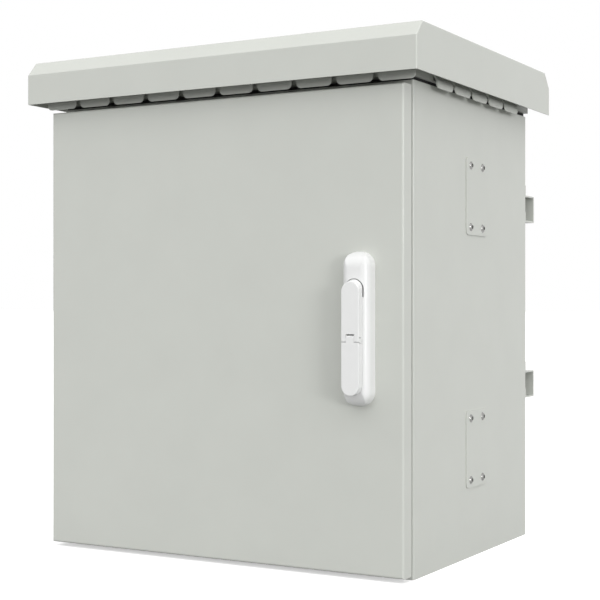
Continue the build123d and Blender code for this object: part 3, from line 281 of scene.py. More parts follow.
class EffectLibrary:
    """Builds each shared node group once."""

    SOCKETS = {
        "Vector": "NodeSocketVector",
        "Base": "NodeSocketColor",
        "Color": "NodeSocketColor",
        "Normal": "NodeSocketVector",
    }
    INPUTS = {
        Effect.FINE_TEXTURE: ("Vector", "Cell"),
        Effect.TINT_DRIFT: ("Vector", "Base", "Drift", "Patch"),
        Effect.SETTLED_DUST: ("Vector", "Patch"),
        Effect.SOFT_EDGE: ("Radius",),
    }
    OUTPUTS = {
        Effect.FINE_TEXTURE: ("Height", "Speckle"),
        Effect.TINT_DRIFT: ("Color",),
        Effect.SETTLED_DUST: ("Mask",),
        Effect.SOFT_EDGE: ("Normal", "Edge"),
    }
    BUMP_DETAIL = 1.5
    ROLL_DETAIL = 1.0
    ROLL_SCALE_SHARE = 0.17
    ROLL_HEIGHT_SHARE = 0.6
    SPECKLE_SPAN = (0.35, 0.65)
    TINT_DETAIL = 3.0
    TINT_SPAN = (0.3, 0.7)
    TINT_SWING = (-1.0, 1.0)
    DUST_DETAIL = 5.0
    DUST_SPAN = (0.35, 0.75)
    DUST_SLOPE_SPAN = (0.75, 0.98)
    EDGE_SAMPLES = 6
    EDGE_SPAN = (0.995, 0.8)

    @classmethod
    def group(cls, effect: Effect) -> bpy.types.NodeTree:
        """Find or build the node group of an effect.

        Args:
            effect: which group.

        Returns:
            The node group.
        """
        found = bpy.data.node_groups.get(effect.value)
        if found:
            return found
        tree = bpy.data.node_groups.new(effect.value, "ShaderNodeTree")
        for way, names in (("INPUT", cls.INPUTS[effect]), ("OUTPUT", cls.OUTPUTS[effect])):
            for name in names:
                kind = cls.SOCKETS.get(name, "NodeSocketFloat")
                tree.interface.new_socket(name=name, in_out=way, socket_type=kind)
        graph = Graph(tree)
        given = graph.node("NodeGroupInput").outputs
        result = graph.node("NodeGroupOutput").inputs
        builders = {
            Effect.FINE_TEXTURE: cls.fine_texture,
            Effect.TINT_DRIFT: cls.tint_drift,
            Effect.SETTLED_DUST: cls.settled_dust,
            Effect.SOFT_EDGE: cls.soft_edge,
        }
        builders[effect](graph, given, result)
        return tree

    @classmethod
    def fine_texture(cls, graph: Graph, given: Sockets, result: Sockets) -> None:
        """Small rounded bumps with a wider roll under them, as in a sprayed or moulded surface.

        Args:
            graph: the group's graph.
            given: the group's inputs.
            result: the group's outputs.
        """
        scale = graph.math("DIVIDE", 1.0, given["Cell"])
        bumps = graph.noise(given["Vector"], scale, cls.BUMP_DETAIL)
        wide = graph.math("MULTIPLY", scale, cls.ROLL_SCALE_SHARE)
        roll = graph.noise(given["Vector"], wide, cls.ROLL_DETAIL)
        graph.feed(result["Height"], graph.math("MULTIPLY_ADD", roll, cls.ROLL_HEIGHT_SHARE, bumps))
        graph.feed(result["Speckle"], graph.ramp(bumps, cls.SPECKLE_SPAN))

    @classmethod
    def tint_drift(cls, graph: Graph, given: Sockets, result: Sockets) -> None:
        """Slow drift of a base colour, lighter and darker by a small share.

        Args:
            graph: the group's graph.
            given: the group's inputs.
            result: the group's outputs.
        """
        scale = graph.math("DIVIDE", 1.0, given["Patch"])
        patch = graph.noise(given["Vector"], scale, cls.TINT_DETAIL)
        swing = graph.math("MULTIPLY", graph.ramp(patch, cls.TINT_SPAN, cls.TINT_SWING), given["Drift"])
        tinted = graph.node("ShaderNodeVectorMath", operation="SCALE")
        graph.feed(tinted.inputs[0], given["Base"])
        graph.feed(tinted.inputs["Scale"], graph.math("ADD", swing, 1.0))
        graph.feed(result["Color"], tinted.outputs[0])

    @classmethod
    def settled_dust(cls, graph: Graph, given: Sockets, result: Sockets) -> None:
        """Thin dust on faces that look up, in soft patches.

        Args:
            graph: the group's graph.
            given: the group's inputs.
            result: the group's outputs.
        """
        parts = graph.node("ShaderNodeSeparateXYZ")
        graph.feed(parts.inputs[0], graph.node("ShaderNodeNewGeometry").outputs["Normal"])
        level = graph.ramp(parts.outputs["Z"], cls.DUST_SLOPE_SPAN)
        scale = graph.math("DIVIDE", 1.0, given["Patch"])
        patch = graph.ramp(graph.noise(given["Vector"], scale, cls.DUST_DETAIL), cls.DUST_SPAN)
        graph.feed(result["Mask"], graph.math("MULTIPLY", level, patch))

    @classmethod
    def soft_edge(cls, graph: Graph, given: Sockets, result: Sockets) -> None:
        """Normal with broken edges, and a mask of those edges.

        Args:
            graph: the group's graph.
            given: the group's inputs.
            result: the group's outputs.
        """
        bevel = graph.node("ShaderNodeBevel", samples=cls.EDGE_SAMPLES)
        graph.feed(bevel.inputs["Radius"], given["Radius"])
        dot = graph.node("ShaderNodeVectorMath", operation="DOT_PRODUCT")
        graph.feed(dot.inputs[0], bevel.outputs[0])
        graph.feed(dot.inputs[1], graph.node("ShaderNodeNewGeometry").outputs["Normal"])
        graph.feed(result["Normal"], bevel.outputs[0])
        graph.feed(result["Edge"], graph.ramp(dot.outputs["Value"], cls.EDGE_SPAN))


@dataclass(frozen=True)
class Surface:
    """What every finish has: a slot, a colour and a broken edge."""

    slot: Slot
    colour: Colour
    edge_radius: float

    def start(self) -> tuple[bpy.types.Material, Graph, bpy.types.Node, bpy.types.NodeSocket]:
        """Begin the finish's material.

        Returns:
            The material, its graph, its shader and the object coordinates.
        """
        made = bpy.data.materials.new("finish_" + self.slot.value)
        made.use_nodes = True
        made.diffuse_color = self.colour
        graph = Graph(made.node_tree)
        shader = made.node_tree.nodes["Principled BSDF"]
        place = graph.node("ShaderNodeTexCoord").outputs["Object"]
        return made, graph, shader, place

    def edge(self, graph: Graph) -> Sockets:
        """Outputs of the soft-edge group, placed with this finish's radius."""
        return graph.effect(Effect.SOFT_EDGE, Radius=self.edge_radius).outputs

    def tint(self, graph: Graph, place: Feed, drift: float, patch: float) -> bpy.types.NodeSocket:
        """Colour of the finish with a slow drift.

        Args:
            graph: the material's graph.
            place: coordinates.
            drift: largest change, as a share of the colour.
            patch: size of a patch.

        Returns:
            The colour's socket.
        """
        made = graph.effect(Effect.TINT_DRIFT, Vector=place, Base=self.colour, Drift=drift, Patch=patch)
        return made.outputs["Color"]

    def bump(self, graph: Graph, shader: bpy.types.Node, height: Feed, depth: float, edge: Sockets) -> None:
        """Feed the shader's normal from a height and from the broken edges.

        Args:
            graph: the material's graph.
            shader: the Principled shader.
            height: height between 0 and about 1.
            depth: what a height of 1 stands for.
            edge: outputs of the placed soft-edge group.
        """
        made = graph.node("ShaderNodeBump")
        made.inputs["Strength"].default_value = 1.0
        made.inputs["Distance"].default_value = depth
        graph.feed(made.inputs["Height"], height)
        graph.feed(made.inputs["Normal"], edge["Normal"])
        graph.feed(shader.inputs["Normal"], made.outputs["Normal"])


@dataclass(frozen=True)
class GrainedSurface(Surface):
    """Finish with a fine grain that shows in its gloss and its relief."""

    roughness: float
    grain_cell: float
    grain_depth: float

    def grain(self, graph: Graph, place: Feed) -> Sockets:
        """Outputs of the fine texture, placed with this finish's cell."""
        return graph.effect(Effect.FINE_TEXTURE, Vector=place, Cell=self.grain_cell).outputs

    def gloss(self, graph: Graph, mask: Feed, rise: float) -> bpy.types.NodeSocket:
        """Roughness of the finish, raised where a mask is 1."""
        return graph.math("MULTIPLY_ADD", mask, rise, self.roughness)


@dataclass(frozen=True)
class SkinnedSurface(GrainedSurface):
    """Grained finish with all of its gloss in a thin clear skin."""

    grain_rise: float
    drift: float
    drift_patch: float
    skin_weight: float
    skin_roughness: float

    def skin(self, shader: bpy.types.Node) -> None:
        """Lay the skin over a base without gloss of its own.

        Args:
            shader: the Principled shader.
        """
        shader.inputs["Specular IOR Level"].default_value = NO_GLOSS
        shader.inputs["Coat Weight"].default_value = self.skin_weight
        shader.inputs["Coat Roughness"].default_value = self.skin_roughness


@dataclass(frozen=True)
class PowderCoat(SkinnedSurface):
    """Fine sprayed powder coat on sheet steel."""

    slot: Slot = Slot.CABINET_PAINT
    colour: Colour = (0.590, 0.606, 0.566, 1.0)
    edge_radius: float = 0.25 * MM
    roughness: float = 0.33
    grain_cell: float = 1.1 * MM
    grain_depth: float = 0.012 * MM
    grain_rise: float = 0.05
    drift: float = 0.012
    drift_patch: float = 70 * MM
    skin_weight: float = 0.6
    skin_roughness: float = 0.20
    dust_colour: Colour = (0.66, 0.65, 0.60, 1.0)
    dust_share: float = 0.35
    dust_rise: float = 0.4
    # Lighter colour on the edges: partly paint worn thin there, partly a painted highlight along the bends
    worn_and_highlit_edge_colour: Colour = (0.64, 0.655, 0.615, 1.0)
    worn_and_highlit_edge_share: float = 0.25

    def material(self) -> bpy.types.Material:
        """Build the material.

        Returns:
            The material.
        """
        made, graph, shader, place = self.start()
        grain = self.grain(graph, place)
        edge = self.edge(graph)
        tint = self.tint(graph, place, self.drift, self.drift_patch)
        dust = graph.effect(Effect.SETTLED_DUST, Vector=place, Patch=self.drift_patch)
        # Edges lightened in the base colour: partly wear, partly a painted highlight along the bends
        worn_and_highlit_edge = graph.math("MULTIPLY", edge["Edge"], self.worn_and_highlit_edge_share)
        dusty = graph.math("MULTIPLY", dust.outputs["Mask"], self.dust_share)
        colour = graph.mix(worn_and_highlit_edge, tint, self.worn_and_highlit_edge_colour)
        graph.feed(shader.inputs["Base Color"], graph.mix(dusty, colour, self.dust_colour))
        gloss = self.gloss(graph, grain["Speckle"], self.grain_rise)
        graph.feed(shader.inputs["Roughness"], graph.math("MULTIPLY_ADD", dusty, self.dust_rise, gloss))
        self.skin(shader)
        self.bump(graph, shader, grain["Height"], self.grain_depth, edge)
        return made


@dataclass(frozen=True)
class MouldedPlastic(SkinnedSurface):
    """White moulded plastic with a fine eroded grain."""

    slot: Slot = Slot.HANDLE_PLASTIC
    colour: Colour = (0.81, 0.815, 0.81, 1.0)
    edge_radius: float = 0.25 * MM
    roughness: float = 0.30
    grain_cell: float = 0.45 * MM
    grain_depth: float = 0.006 * MM
    grain_rise: float = 0.06
    drift: float = 0.008
    drift_patch: float = 25 * MM
    skin_weight: float = 0.8
    skin_roughness: float = 0.20

    def material(self) -> bpy.types.Material:
        """Build the material.

        Returns:
            The material.
        """
        made, graph, shader, place = self.start()
        grain = self.grain(graph, place)
        graph.feed(shader.inputs["Base Color"], self.tint(graph, place, self.drift, self.drift_patch))
        graph.feed(shader.inputs["Roughness"], self.gloss(graph, grain["Speckle"], self.grain_rise))
        self.skin(shader)
        self.bump(graph, shader, grain["Height"], self.grain_depth, self.edge(graph))
        return made


@dataclass(frozen=True)
class ZincPlate(GrainedSurface):
    """Zinc plated steel with a fine spangle."""

    slot: Slot = Slot.ZINC_PLATE
    colour: Colour = (0.55, 0.56, 0.57, 1.0)
    edge_radius: float = 0.4 * MM
    roughness: float = 0.36
    grain_cell: float = 0.8 * MM
    grain_depth: float = 0.006 * MM
    spangle_cell: float = 5 * MM
    spangle_share: float = 0.10
    spangle_gain: float = 1.5
    spangle_rise: float = 0.10

    def material(self) -> bpy.types.Material:
        """Build the material.

        Returns:
            The material.
        """
        made, graph, shader, place = self.start()
        shader.inputs["Metallic"].default_value = METAL
        grain = self.grain(graph, place)
        flake = graph.node("ShaderNodeSeparateColor")
        graph.feed(flake.inputs[0], graph.cells(place, self.spangle_cell).outputs["Color"])
        share = graph.math("MULTIPLY", flake.outputs[0], self.spangle_share)
        pale = tuple(min(1.0, part * self.spangle_gain) for part in self.colour[:3]) + (1.0,)
        graph.feed(shader.inputs["Base Color"], graph.mix(share, self.colour, pale))
        graph.feed(shader.inputs["Roughness"], self.gloss(graph, flake.outputs[1], self.spangle_rise))
        self.bump(graph, shader, grain["Height"], self.grain_depth, self.edge(graph))
        return made


@dataclass(frozen=True)
class BrightSteel(GrainedSurface):
    """Stainless fasteners, tumbled bright."""

    slot: Slot = Slot.SCREW_STEEL
    colour: Colour = (0.34, 0.34, 0.33, 1.0)
    edge_radius: float = 0.12 * MM
    roughness: float = 0.17
    grain_cell: float = 0.5 * MM
    grain_depth: float = 0.004 * MM
    grain_rise: float = 0.08
    drift: float = 0.10
    drift_patch: float = 4 * MM

    def material(self) -> bpy.types.Material:
        """Build the material.

        Returns:
            The material.
        """
        made, graph, shader, place = self.start()
        shader.inputs["Metallic"].default_value = METAL
        grain = self.grain(graph, place)
        graph.feed(shader.inputs["Base Color"], self.tint(graph, place, self.drift, self.drift_patch))
        graph.feed(shader.inputs["Roughness"], self.gloss(graph, grain["Speckle"], self.grain_rise))
        self.bump(graph, shader, grain["Height"], self.grain_depth, self.edge(graph))
        return made


@dataclass(frozen=True)
class SatinNickel(Surface):
    """Satin nickel of the lock, with turned rings about its axis."""

    slot: Slot = Slot.LOCK_METAL
    colour: Colour = (0.62, 0.61, 0.58, 1.0)
    edge_radius: float = 0.15 * MM
    ring_scale: float = 1.0 / (7 * MM)
    ring_waver: float = 0.6
    ring_depth: float = 0.004 * MM
    ring_roughness: Span = (0.22, 0.34)
    drift: float = 0.06
    drift_patch: float = 3 * MM

    def material(self) -> bpy.types.Material:
        """Build the material.

        Returns:
            The material.
        """
        made, graph, shader, place = self.start()
        shader.inputs["Metallic"].default_value = METAL
        low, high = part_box("lock_cylinder")
        centred = graph.node("ShaderNodeVectorMath", operation="SUBTRACT")
        graph.feed(centred.inputs[0], place)
        centred.inputs[1].default_value = (low + high) / 2
        rings = graph.node("ShaderNodeTexWave", wave_type="RINGS", rings_direction="Y")
        graph.feed(rings.inputs["Vector"], centred.outputs[0])
        rings.inputs["Scale"].default_value = self.ring_scale
        rings.inputs["Distortion"].default_value = self.ring_waver
        height = rings.outputs["Fac"]
        graph.feed(shader.inputs["Base Color"], self.tint(graph, place, self.drift, self.drift_patch))
        graph.feed(shader.inputs["Roughness"], graph.ramp(height, FULL, self.ring_roughness))
        self.bump(graph, shader, height, self.ring_depth, self.edge(graph))
        return made


@dataclass(frozen=True)
class ClosedCellFoam(Surface):
    """Black closed-cell foam with open cells on its cut faces."""

    slot: Slot = Slot.BLACK_RUBBER
    colour: Colour = (0.018, 0.018, 0.019, 1.0)
    edge_radius: float = 1.0 * MM
    cell: float = 0.9 * MM
    cell_depth: float = 0.12 * MM
    cell_colour: Colour = (0.006, 0.006, 0.006, 1.0)
    wall_span: Span = (0.1, 0.6)
    roughness_span: Span = (0.95, 0.86)

    def material(self) -> bpy.types.Material:
        """Build the material.

        Returns:
            The material.
        """
        made, graph, shader, place = self.start()
        wall = graph.ramp(graph.cells(place, self.cell).outputs["Distance"], self.wall_span)
        graph.feed(shader.inputs["Base Color"], graph.mix(wall, self.cell_colour, self.colour))
        graph.feed(shader.inputs["Roughness"], graph.ramp(wall, FULL, self.roughness_span))
        self.bump(graph, shader, wall, self.cell_depth, self.edge(graph))
        return made


@dataclass
class FinishSet:
    """All finishes of the cabinet, one material for each slot."""

    finishes: tuple[Surface, ...] = (
        PowderCoat(),
        MouldedPlastic(),
        ZincPlate(),
        BrightSteel(),
        SatinNickel(),
        ClosedCellFoam(),
    )
    made: dict[Slot, bpy.types.Material] = field(default_factory=dict)

    def material(self, slot: Slot) -> bpy.types.Material:
        """Find or build the material of a slot.

        Args:
            slot: the record's slot.

        Returns:
            The material.
        """
        if slot not in self.made:
            finish = next(finish for finish in self.finishes if finish.slot is slot)
            self.made[slot] = finish.material()
        return self.made[slot]

    def dress(self, slot: Slot, *nodes: str) -> None:
        """Give CAD nodes the material of a slot.

        Args:
            slot: the record's slot.
            nodes: names of the nodes.
        """
        for node in nodes:
            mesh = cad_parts[node].data
            mesh.materials.clear()
            mesh.materials.append(self.material(slot))
            LOG.info("dressed %s in %s", node, slot.value)


@dataclass(frozen=True)
class Ring:
    """One ring of a turned form about Z, or of a hexagon when it is milled."""

    radius: float
    height: float
    milled: bool = False
    slope: float = 0.0

    def point(self, angle: float) -> Vector:
        """Point of the ring; a slope lifts a milled ring's corners.

        Args:
            angle: way round the axis, in radians.

        Returns:
            The point in the local frame.
        """
        reach = self.radius
        if self.milled:
            reach /= math.cos(math.fmod(angle, math.pi / 3) - math.pi / 6)
        rise = self.height + self.slope * (reach - self.radius)
        return Vector((reach * math.cos(angle), reach * math.sin(angle), rise))


@dataclass
class PieceMesh:
    """Collects closed shells and turns them into one piece of the scene."""

    segments: int = 36
    thread_depth_share: float = 0.55
    fewest_turns: int = 2
    points: list[Vector] = field(default_factory=list)
    faces: list[tuple[int, ...]] = field(default_factory=list)

    def rings(self, rings: list[Ring], place: Matrix, loop: bool = False) -> None:
        """Add a shell of stacked rings; a ring of no radius is a single point.

        Args:
            rings: rings from first to last, going round the form's outside.
            place: where the local frame lies.
            loop: whether the last ring joins the first.
        """
        rows = []
        for ring in rings:
            count = self.segments if ring.radius > 0 else 1
            first = len(self.points)
            for step in range(count):
                self.points.append(place @ ring.point(2 * math.pi * step / self.segments))
            rows.append([first + step % count for step in range(self.segments)])
        pairs = list(zip(rows, rows[1:]))
        if loop:
            pairs.append((rows[-1], rows[0]))
        for low, high in pairs:
            for step in range(self.segments):
                after = (step + 1) % self.segments
                corners = (low[step], low[after], high[after], high[step])
                self.faces.append(tuple(dict.fromkeys(corners)))

    def thread(self, place: Matrix, radius: float, pitch: float, span: Span) -> None:
        """Add a threaded rod as one helical shell with closed ends.

        Args:
            place: where the local frame lies.
            radius: outside of the thread.
            pitch: rise of one turn.
            span: heights of its two ends.
        """
        low, high = span
        root = radius - self.thread_depth_share * pitch
        turns = max(self.fewest_turns, round((high - low) / pitch))
        total = turns * self.segments
        last_root = total - self.segments

        def line(count: int, reach: float, lift: float) -> list[int]:
            """Add one helix, kept between the ends.

            Args:
                count: steps along it.
                reach: distance from the axis.
                lift: start above the lower end, in turns.

            Returns:
                Numbers of its points.
            """
            first = len(self.points)
            for step in range(count + 1):
                angle = 2 * math.pi * step / self.segments
                rise = low + pitch * (step / self.segments + lift)
                point = Vector((reach * math.cos(angle), reach * math.sin(angle), min(high, rise)))
                self.points.append(place @ point)
            return list(range(first, first + count + 1))

        crest = line(total, radius, 0.0)
        valley = line(last_root, root, 0.5)
        for step in range(last_root):
            after = step + self.segments
            self.faces.append((crest[step], crest[step + 1], valley[step + 1], valley[step]))
            self.faces.append((valley[step], valley[step + 1], crest[after + 1], crest[after]))
        foot = [valley[0]] + crest[self.segments::-1]
        head = crest[last_root:] + [valley[-1]]
        for boundary, level in ((foot, low), (head, high)):
            middle = len(self.points)
            self.points.append(place @ Vector((0, 0, level)))
            for index, corner in enumerate(boundary):
                self.faces.append((middle, corner, boundary[(index + 1) % len(boundary)]))

    def framed(self, profile: list[Span], half_x: float, span_z: Span) -> None:
        """Add a closed profile swept round a rectangle with mitred corners.

        Args:
            profile: points as (offset outwards from the rectangle, Y), in order round the section.
            half_x: half of the rectangle's width.
            span_z: its lower and upper height.
        """
        rows = []
        for out, depth in profile:
            low, high = span_z[0] - out, span_z[1] + out
            reach = half_x + out
            corners = ((-reach, low), (reach, low), (reach, high), (-reach, high))
            first = len(self.points)
            self.points.extend(Vector((x, depth, z)) for x, z in corners)
            rows.append(range(first, len(self.points)))
        for here, there in zip(rows, rows[1:] + rows[:1]):
            for corner in range(len(here)):
                after = (corner + 1) % len(here)
                self.faces.append((here[corner], here[after], there[after], there[corner]))

    def piece(self, name: str, body: Body, slot: Slot, finishes: FinishSet) -> bpy.types.Object:
        """Make the piece, dress it and let it ride on its body.

        Args:
            name: the piece's name.
            body: the body that carries it.
            slot: the record's slot of its finish.
            finishes: where its material comes from.

        Returns:
            The new object.
        """
        mesh = bpy.data.meshes.new(name)
        mesh.from_pydata(self.points, [], self.faces)
        mesh.validate()
        mesh.shade_smooth()
        mesh.set_sharp_from_angle(angle=SHARP_ANGLE)
        mesh.materials.append(finishes.material(slot))
        made = bpy.data.objects.new(name, mesh)
        bpy.context.scene.collection.objects.link(made)
        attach(made, body.value)
        LOG.info("built %s with %d faces", name, len(self.faces))
        return made


def solids_of(node: str) -> list[SolidBox]:
    """Boxes of the separate solids in a CAD node.

    Args:
        node: the node's name.

    Returns:
        Lowest and highest corner of each solid, in a fixed order.
    """
    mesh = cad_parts[node].data
    keys = [tuple(round(part, WELD_DIGITS) for part in vertex.co) for vertex in mesh.vertices]
    above = {key: key for key in keys}

    def top(key: Point) -> Point:
        """Follow a point up to the one that names its group.

        Args:
            key: the point.

        Returns:
            The point that names the group.
        """
        while above[key] != key:
            above[key] = above[above[key]]
            key = above[key]
        return key

    for polygon in mesh.polygons:
        first = top(keys[polygon.vertices[0]])
        for index in polygon.vertices[1:]:
            above[top(keys[index])] = first
    groups: dict[Point, list[Point]] = {}
    for key in above:
        groups.setdefault(top(key), []).append(key)
    boxes = [(Vector(map(min, *members)), Vector(map(max, *members))) for members in groups.values()]
    return sorted(boxes, key=lambda box: tuple(box[0]))


@dataclass(frozen=True)
class FastenerSet:
    """One kind of fastener at every place where the CAD has one."""

    name: str
    node: str
    kind: Kind
    facing: Facing
    thread: Thread
    body: Body = Body.CABINET
    head_height: float = 3 * MM
    nut_height: float = 5 * MM
    nut_radius: float = 5.8 * MM
    stud_over: float = 1.5 * MM
    rim_share: float = 0.05
    rim_rise_share: float = 0.5
    dome_shares: tuple[float, ...] = (0.96, 0.88, 0.78, 0.66, 0.58)
    socket_share: float = 0.42
    socket_lip_share: float = 1.06
    socket_drop_share: float = 0.02
    socket_floor_share: float = 0.35
    socket_dish_share: float = 0.1
    chamfer_slope: float = 0.577
    chamfer_share: float = 0.96
    face_share: float = 0.9
    face_dish_share: float = 0.02
    lead_share: float = 0.35
    bore_share: float = 1.01
    neck_share: float = 0.1
    segments: int = 36
    plain_segments: int = 24

    def button_head(self, mesh: PieceMesh, place: Matrix, radius: float) -> None:
        """Add a domed head with a hexagon socket, seated at local Z = 0.

        Args:
            mesh: where it goes.
            place: where the local frame lies.
            radius: outside of the head.
        """
        height = self.head_height
        ball = (radius ** 2 + height ** 2) / (2 * height)
        socket = radius * self.socket_share
        lip = socket * self.socket_lip_share
        rim = self.rim_share * radius
        floor = height * self.socket_floor_share

        def crown(reach: float) -> float:
            """Height of the dome at a distance from its axis."""
            return height - ball + math.sqrt(ball ** 2 - reach ** 2)

        rings = [Ring(0, 0), Ring(radius - rim, 0), Ring(radius, rim * self.rim_rise_share)]
        rings += [Ring(radius * share, crown(radius * share)) for share in self.dome_shares]
        rings.append(Ring(lip, crown(lip), True, -socket / ball))
        rings.append(Ring(socket, crown(socket) - self.socket_drop_share * radius, True))
        rings += [Ring(socket, floor, True), Ring(0, floor - self.socket_dish_share * height)]
        mesh.rings(rings, place)

    def hex_form(self, mesh: PieceMesh, place: Matrix, radius: float, span: Span, bore: float) -> None:
        """Add a hexagon with chamfered corners.

        Args:
            mesh: where it goes.
            place: where the local frame lies.
            radius: distance of its corners from the axis.
            span: heights of its two faces.
            bore: radius of a hole through it, or 0 for none.
        """
        flat = radius * math.cos(math.pi / 6)
        circle = flat * self.chamfer_share
        low, high = span
        slope = self.chamfer_slope
        drop = slope * (flat - circle)
        sides = [
            Ring(circle, low),
            Ring(flat, low + drop, True, slope),
            Ring(flat, high - drop, True, -slope),
            Ring(circle, high),
        ]
        if bore:
            lead = self.lead_share * self.thread.value[1]
            wide = bore + lead
            inside = [Ring(wide, high), Ring(bore, high - lead), Ring(bore, low + lead), Ring(wide, low)]
            mesh.rings(sides + inside, place, loop=True)
        else:
            face = [Ring(circle * self.face_share, high), Ring(0, high - self.face_dish_share * radius)]
            mesh.rings([Ring(0, low)] + sides + face, place)

    def add(self, mesh: PieceMesh, box: SolidBox) -> None:
        """Add one fastener in the place of a CAD solid.

        Args:
            mesh: where it goes.
            box: the solid's box.
        """
        low, high = box
        centre = (low + high) / 2
        axis = self.facing.direction(centre)
        sides = [top - bottom for bottom, top in zip(low, high)]
        along = max(range(len(sides)), key=lambda index: abs(axis[index]))
        length = sides.pop(along)
        radius = max(sides) / 2
        shank, pitch = self.thread.value
        bore = shank * self.bore_share
        turn = axis.to_track_quat("Z", "Y").to_matrix().to_4x4()
        end = Matrix.Translation(centre + axis * (length / 2)) @ turn
        if self.kind is Kind.NUT:
            self.hex_form(mesh, end, radius, (-length, 0.0), bore)
        elif self.kind in (Kind.STUD, Kind.STUD_AND_NUT):
            mesh.thread(end, shank, pitch, (-length, 0.0))
            if self.kind is Kind.STUD_AND_NUT:
                top = -self.stud_over
                self.hex_form(mesh, end, radius, (top - self.nut_height, top), bore)
        else:
            seat = end @ Matrix.Translation((0, 0, -self.head_height))
            tip = self.head_height - length
            mesh.thread(seat, shank, pitch, (tip, self.neck_share * self.head_height))
            if self.kind is Kind.HEX_BOLT:
                self.hex_form(mesh, seat, radius, (0.0, self.head_height), 0.0)
            else:
                self.button_head(mesh, seat, radius)
            if self.kind is Kind.BOLT_AND_NUT:
                foot = tip + self.stud_over
                self.hex_form(mesh, seat, self.nut_radius, (foot, foot + self.nut_height), bore)

    def build(self, finishes: FinishSet) -> None:
        """Build the whole set as one piece that stands for its CAD node.

        Args:
            finishes: where the steel comes from.
        """
        plain = self.kind in (Kind.NUT, Kind.STUD)
        mesh = PieceMesh(self.plain_segments if plain else self.segments)
        for box in solids_of(self.node):
            self.add(mesh, box)
        made = mesh.piece(self.name, self.body, Slot.SCREW_STEEL, finishes)
        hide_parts(self.node)


@dataclass
class SubAssembly:
    """What every sub-assembly has: CAD nodes to dress, by slot, and fasteners."""

    dressed: dict[Slot, tuple[str, ...]] = field(init=False)
    fasteners: tuple[FastenerSet, ...] = field(init=False)

    def dress(self, finishes: FinishSet) -> None:
        """Give the CAD nodes their finishes."""
        for slot, nodes in self.dressed.items():
            finishes.dress(slot, *nodes)

    def build(self, finishes: FinishSet) -> None:
        """Build the fasteners."""
        for fastener in self.fasteners:
            fastener.build(finishes)


@dataclass
class CabinetShell(SubAssembly):
    """Folded body, floor, gland plate and the plates on its sides."""

    corners: tuple[str, ...] = ("left_lower", "left_upper", "right_lower", "right_upper")
    sheets: tuple[str, ...] = ("body_wrap", "top_panel", "floor_panel", "gland_plate")
    side_screw_head: float = 3.2 * MM

    def __post_init__(self) -> None:
        """Name the nodes and the fasteners."""
        plates = tuple(corner + "_side_plate" for corner in self.corners)
        self.dressed = {
            Slot.CABINET_PAINT: self.sheets + plates,
            Slot.ZINC_PLATE: tuple(corner + "_rail_bracket" for corner in self.corners),
        }
        self.fasteners = (
            FastenerSet("side_screws", "side_plate_screws", Kind.BUTTON_SCREW, Facing.OUTWARD, Thread.M6,
                        head_height=self.side_screw_head),
            FastenerSet("side_nuts", "side_plate_nuts", Kind.NUT, Facing.INWARD, Thread.M6),
            FastenerSet("gland_screws", "gland_plate_screws", Kind.BUTTON_SCREW, Facing.UP, Thread.M5),
            FastenerSet("earth_bolt", "earth_stud", Kind.STUD, Facing.UP, Thread.M8),
            FastenerSet("earth_bolt_nuts", "earth_nuts", Kind.NUT, Facing.UP, Thread.M8),
        )


@dataclass
class RainRoof(SubAssembly):
    """Louvred collar, its seal and the folded hood with its studs and nuts."""

    def __post_init__(self) -> None:
        """Name the nodes and the fasteners."""
        self.dressed = {
            Slot.CABINET_PAINT: ("roof_hood", "vent_collar"),
            Slot.BLACK_RUBBER: ("collar_seal",),
        }
        self.fasteners = (
            FastenerSet("roof_studs", "hood_studs", Kind.STUD, Facing.DOWN, Thread.M6),
            FastenerSet("roof_nuts", "hood_nuts", Kind.NUT, Facing.DOWN, Thread.M6),
        )


@dataclass
class Door(SubAssembly):
    """Overlay door with its foam gasket and hinges."""

    gasket_width: float = 14 * MM
    gasket_crown: float = 4.5 * MM
    crown_steps: int = 6
    hinges: tuple[str, ...] = ("lower_hinge", "upper_hinge")
    leaves: tuple[str, ...] = ("_arm", "_bracket")
    hinge_screw_head: float = 2.5 * MM
    hinge_nut_height: float = 3 * MM

    def __post_init__(self) -> None:
        """Name the nodes and the fasteners."""
        self.dressed = {
            Slot.CABINET_PAINT: ("door_panel",),
            Slot.ZINC_PLATE: tuple(hinge + leaf for hinge in self.hinges for leaf in self.leaves),
            Slot.SCREW_STEEL: tuple(hinge + "_pin" for hinge in self.hinges),
        }
        self.fasteners = (
            FastenerSet("hinge_screws", "hinge_arm_screws", Kind.BUTTON_SCREW, Facing.FRONT, Thread.M5,
                        head_height=self.hinge_screw_head),
            FastenerSet("hinge_nuts", "hinge_bracket_nuts", Kind.STUD_AND_NUT, Facing.REAR, Thread.M4,
                        body=Body.DOOR, nut_height=self.hinge_nut_height),
        )

    def gasket_profile(self, front: float, back: float) -> list[Span]:
        """Section of the gasket, flat on the door and crowned to the rear.

        Args:
            front: Y of the door's skin.
            back: Y of the crown.

        Returns:
            Points as (offset from its middle, Y).
        """
        half = self.gasket_width / 2
        bend = self.gasket_crown
        points = [(-half, front)]
        for side in (-1, 1):
            for step in range(self.crown_steps + 1):
                angle = QUARTER_TURN * step / self.crown_steps
                turn = angle if side < 0 else QUARTER_TURN - angle
                out = side * (half - bend + bend * math.cos(turn))
                points.append((out, back - bend + bend * math.sin(turn)))
        points.append((half, front))
        return points

    def build(self, finishes: FinishSet) -> None:
        """Build the gasket, then the hinges' screws and nuts.

        Args:
            finishes: where the foam and the steel come from.
        """
        low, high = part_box("door_gasket")
        half = self.gasket_width / 2
        mesh = PieceMesh()
        mesh.framed(self.gasket_profile(low.y, high.y), high.x - half, (low.z + half, high.z - half))
        made = mesh.piece("gasket_bead", Body.DOOR, Slot.BLACK_RUBBER, finishes)
        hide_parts("door_gasket")
        super().build(finishes)


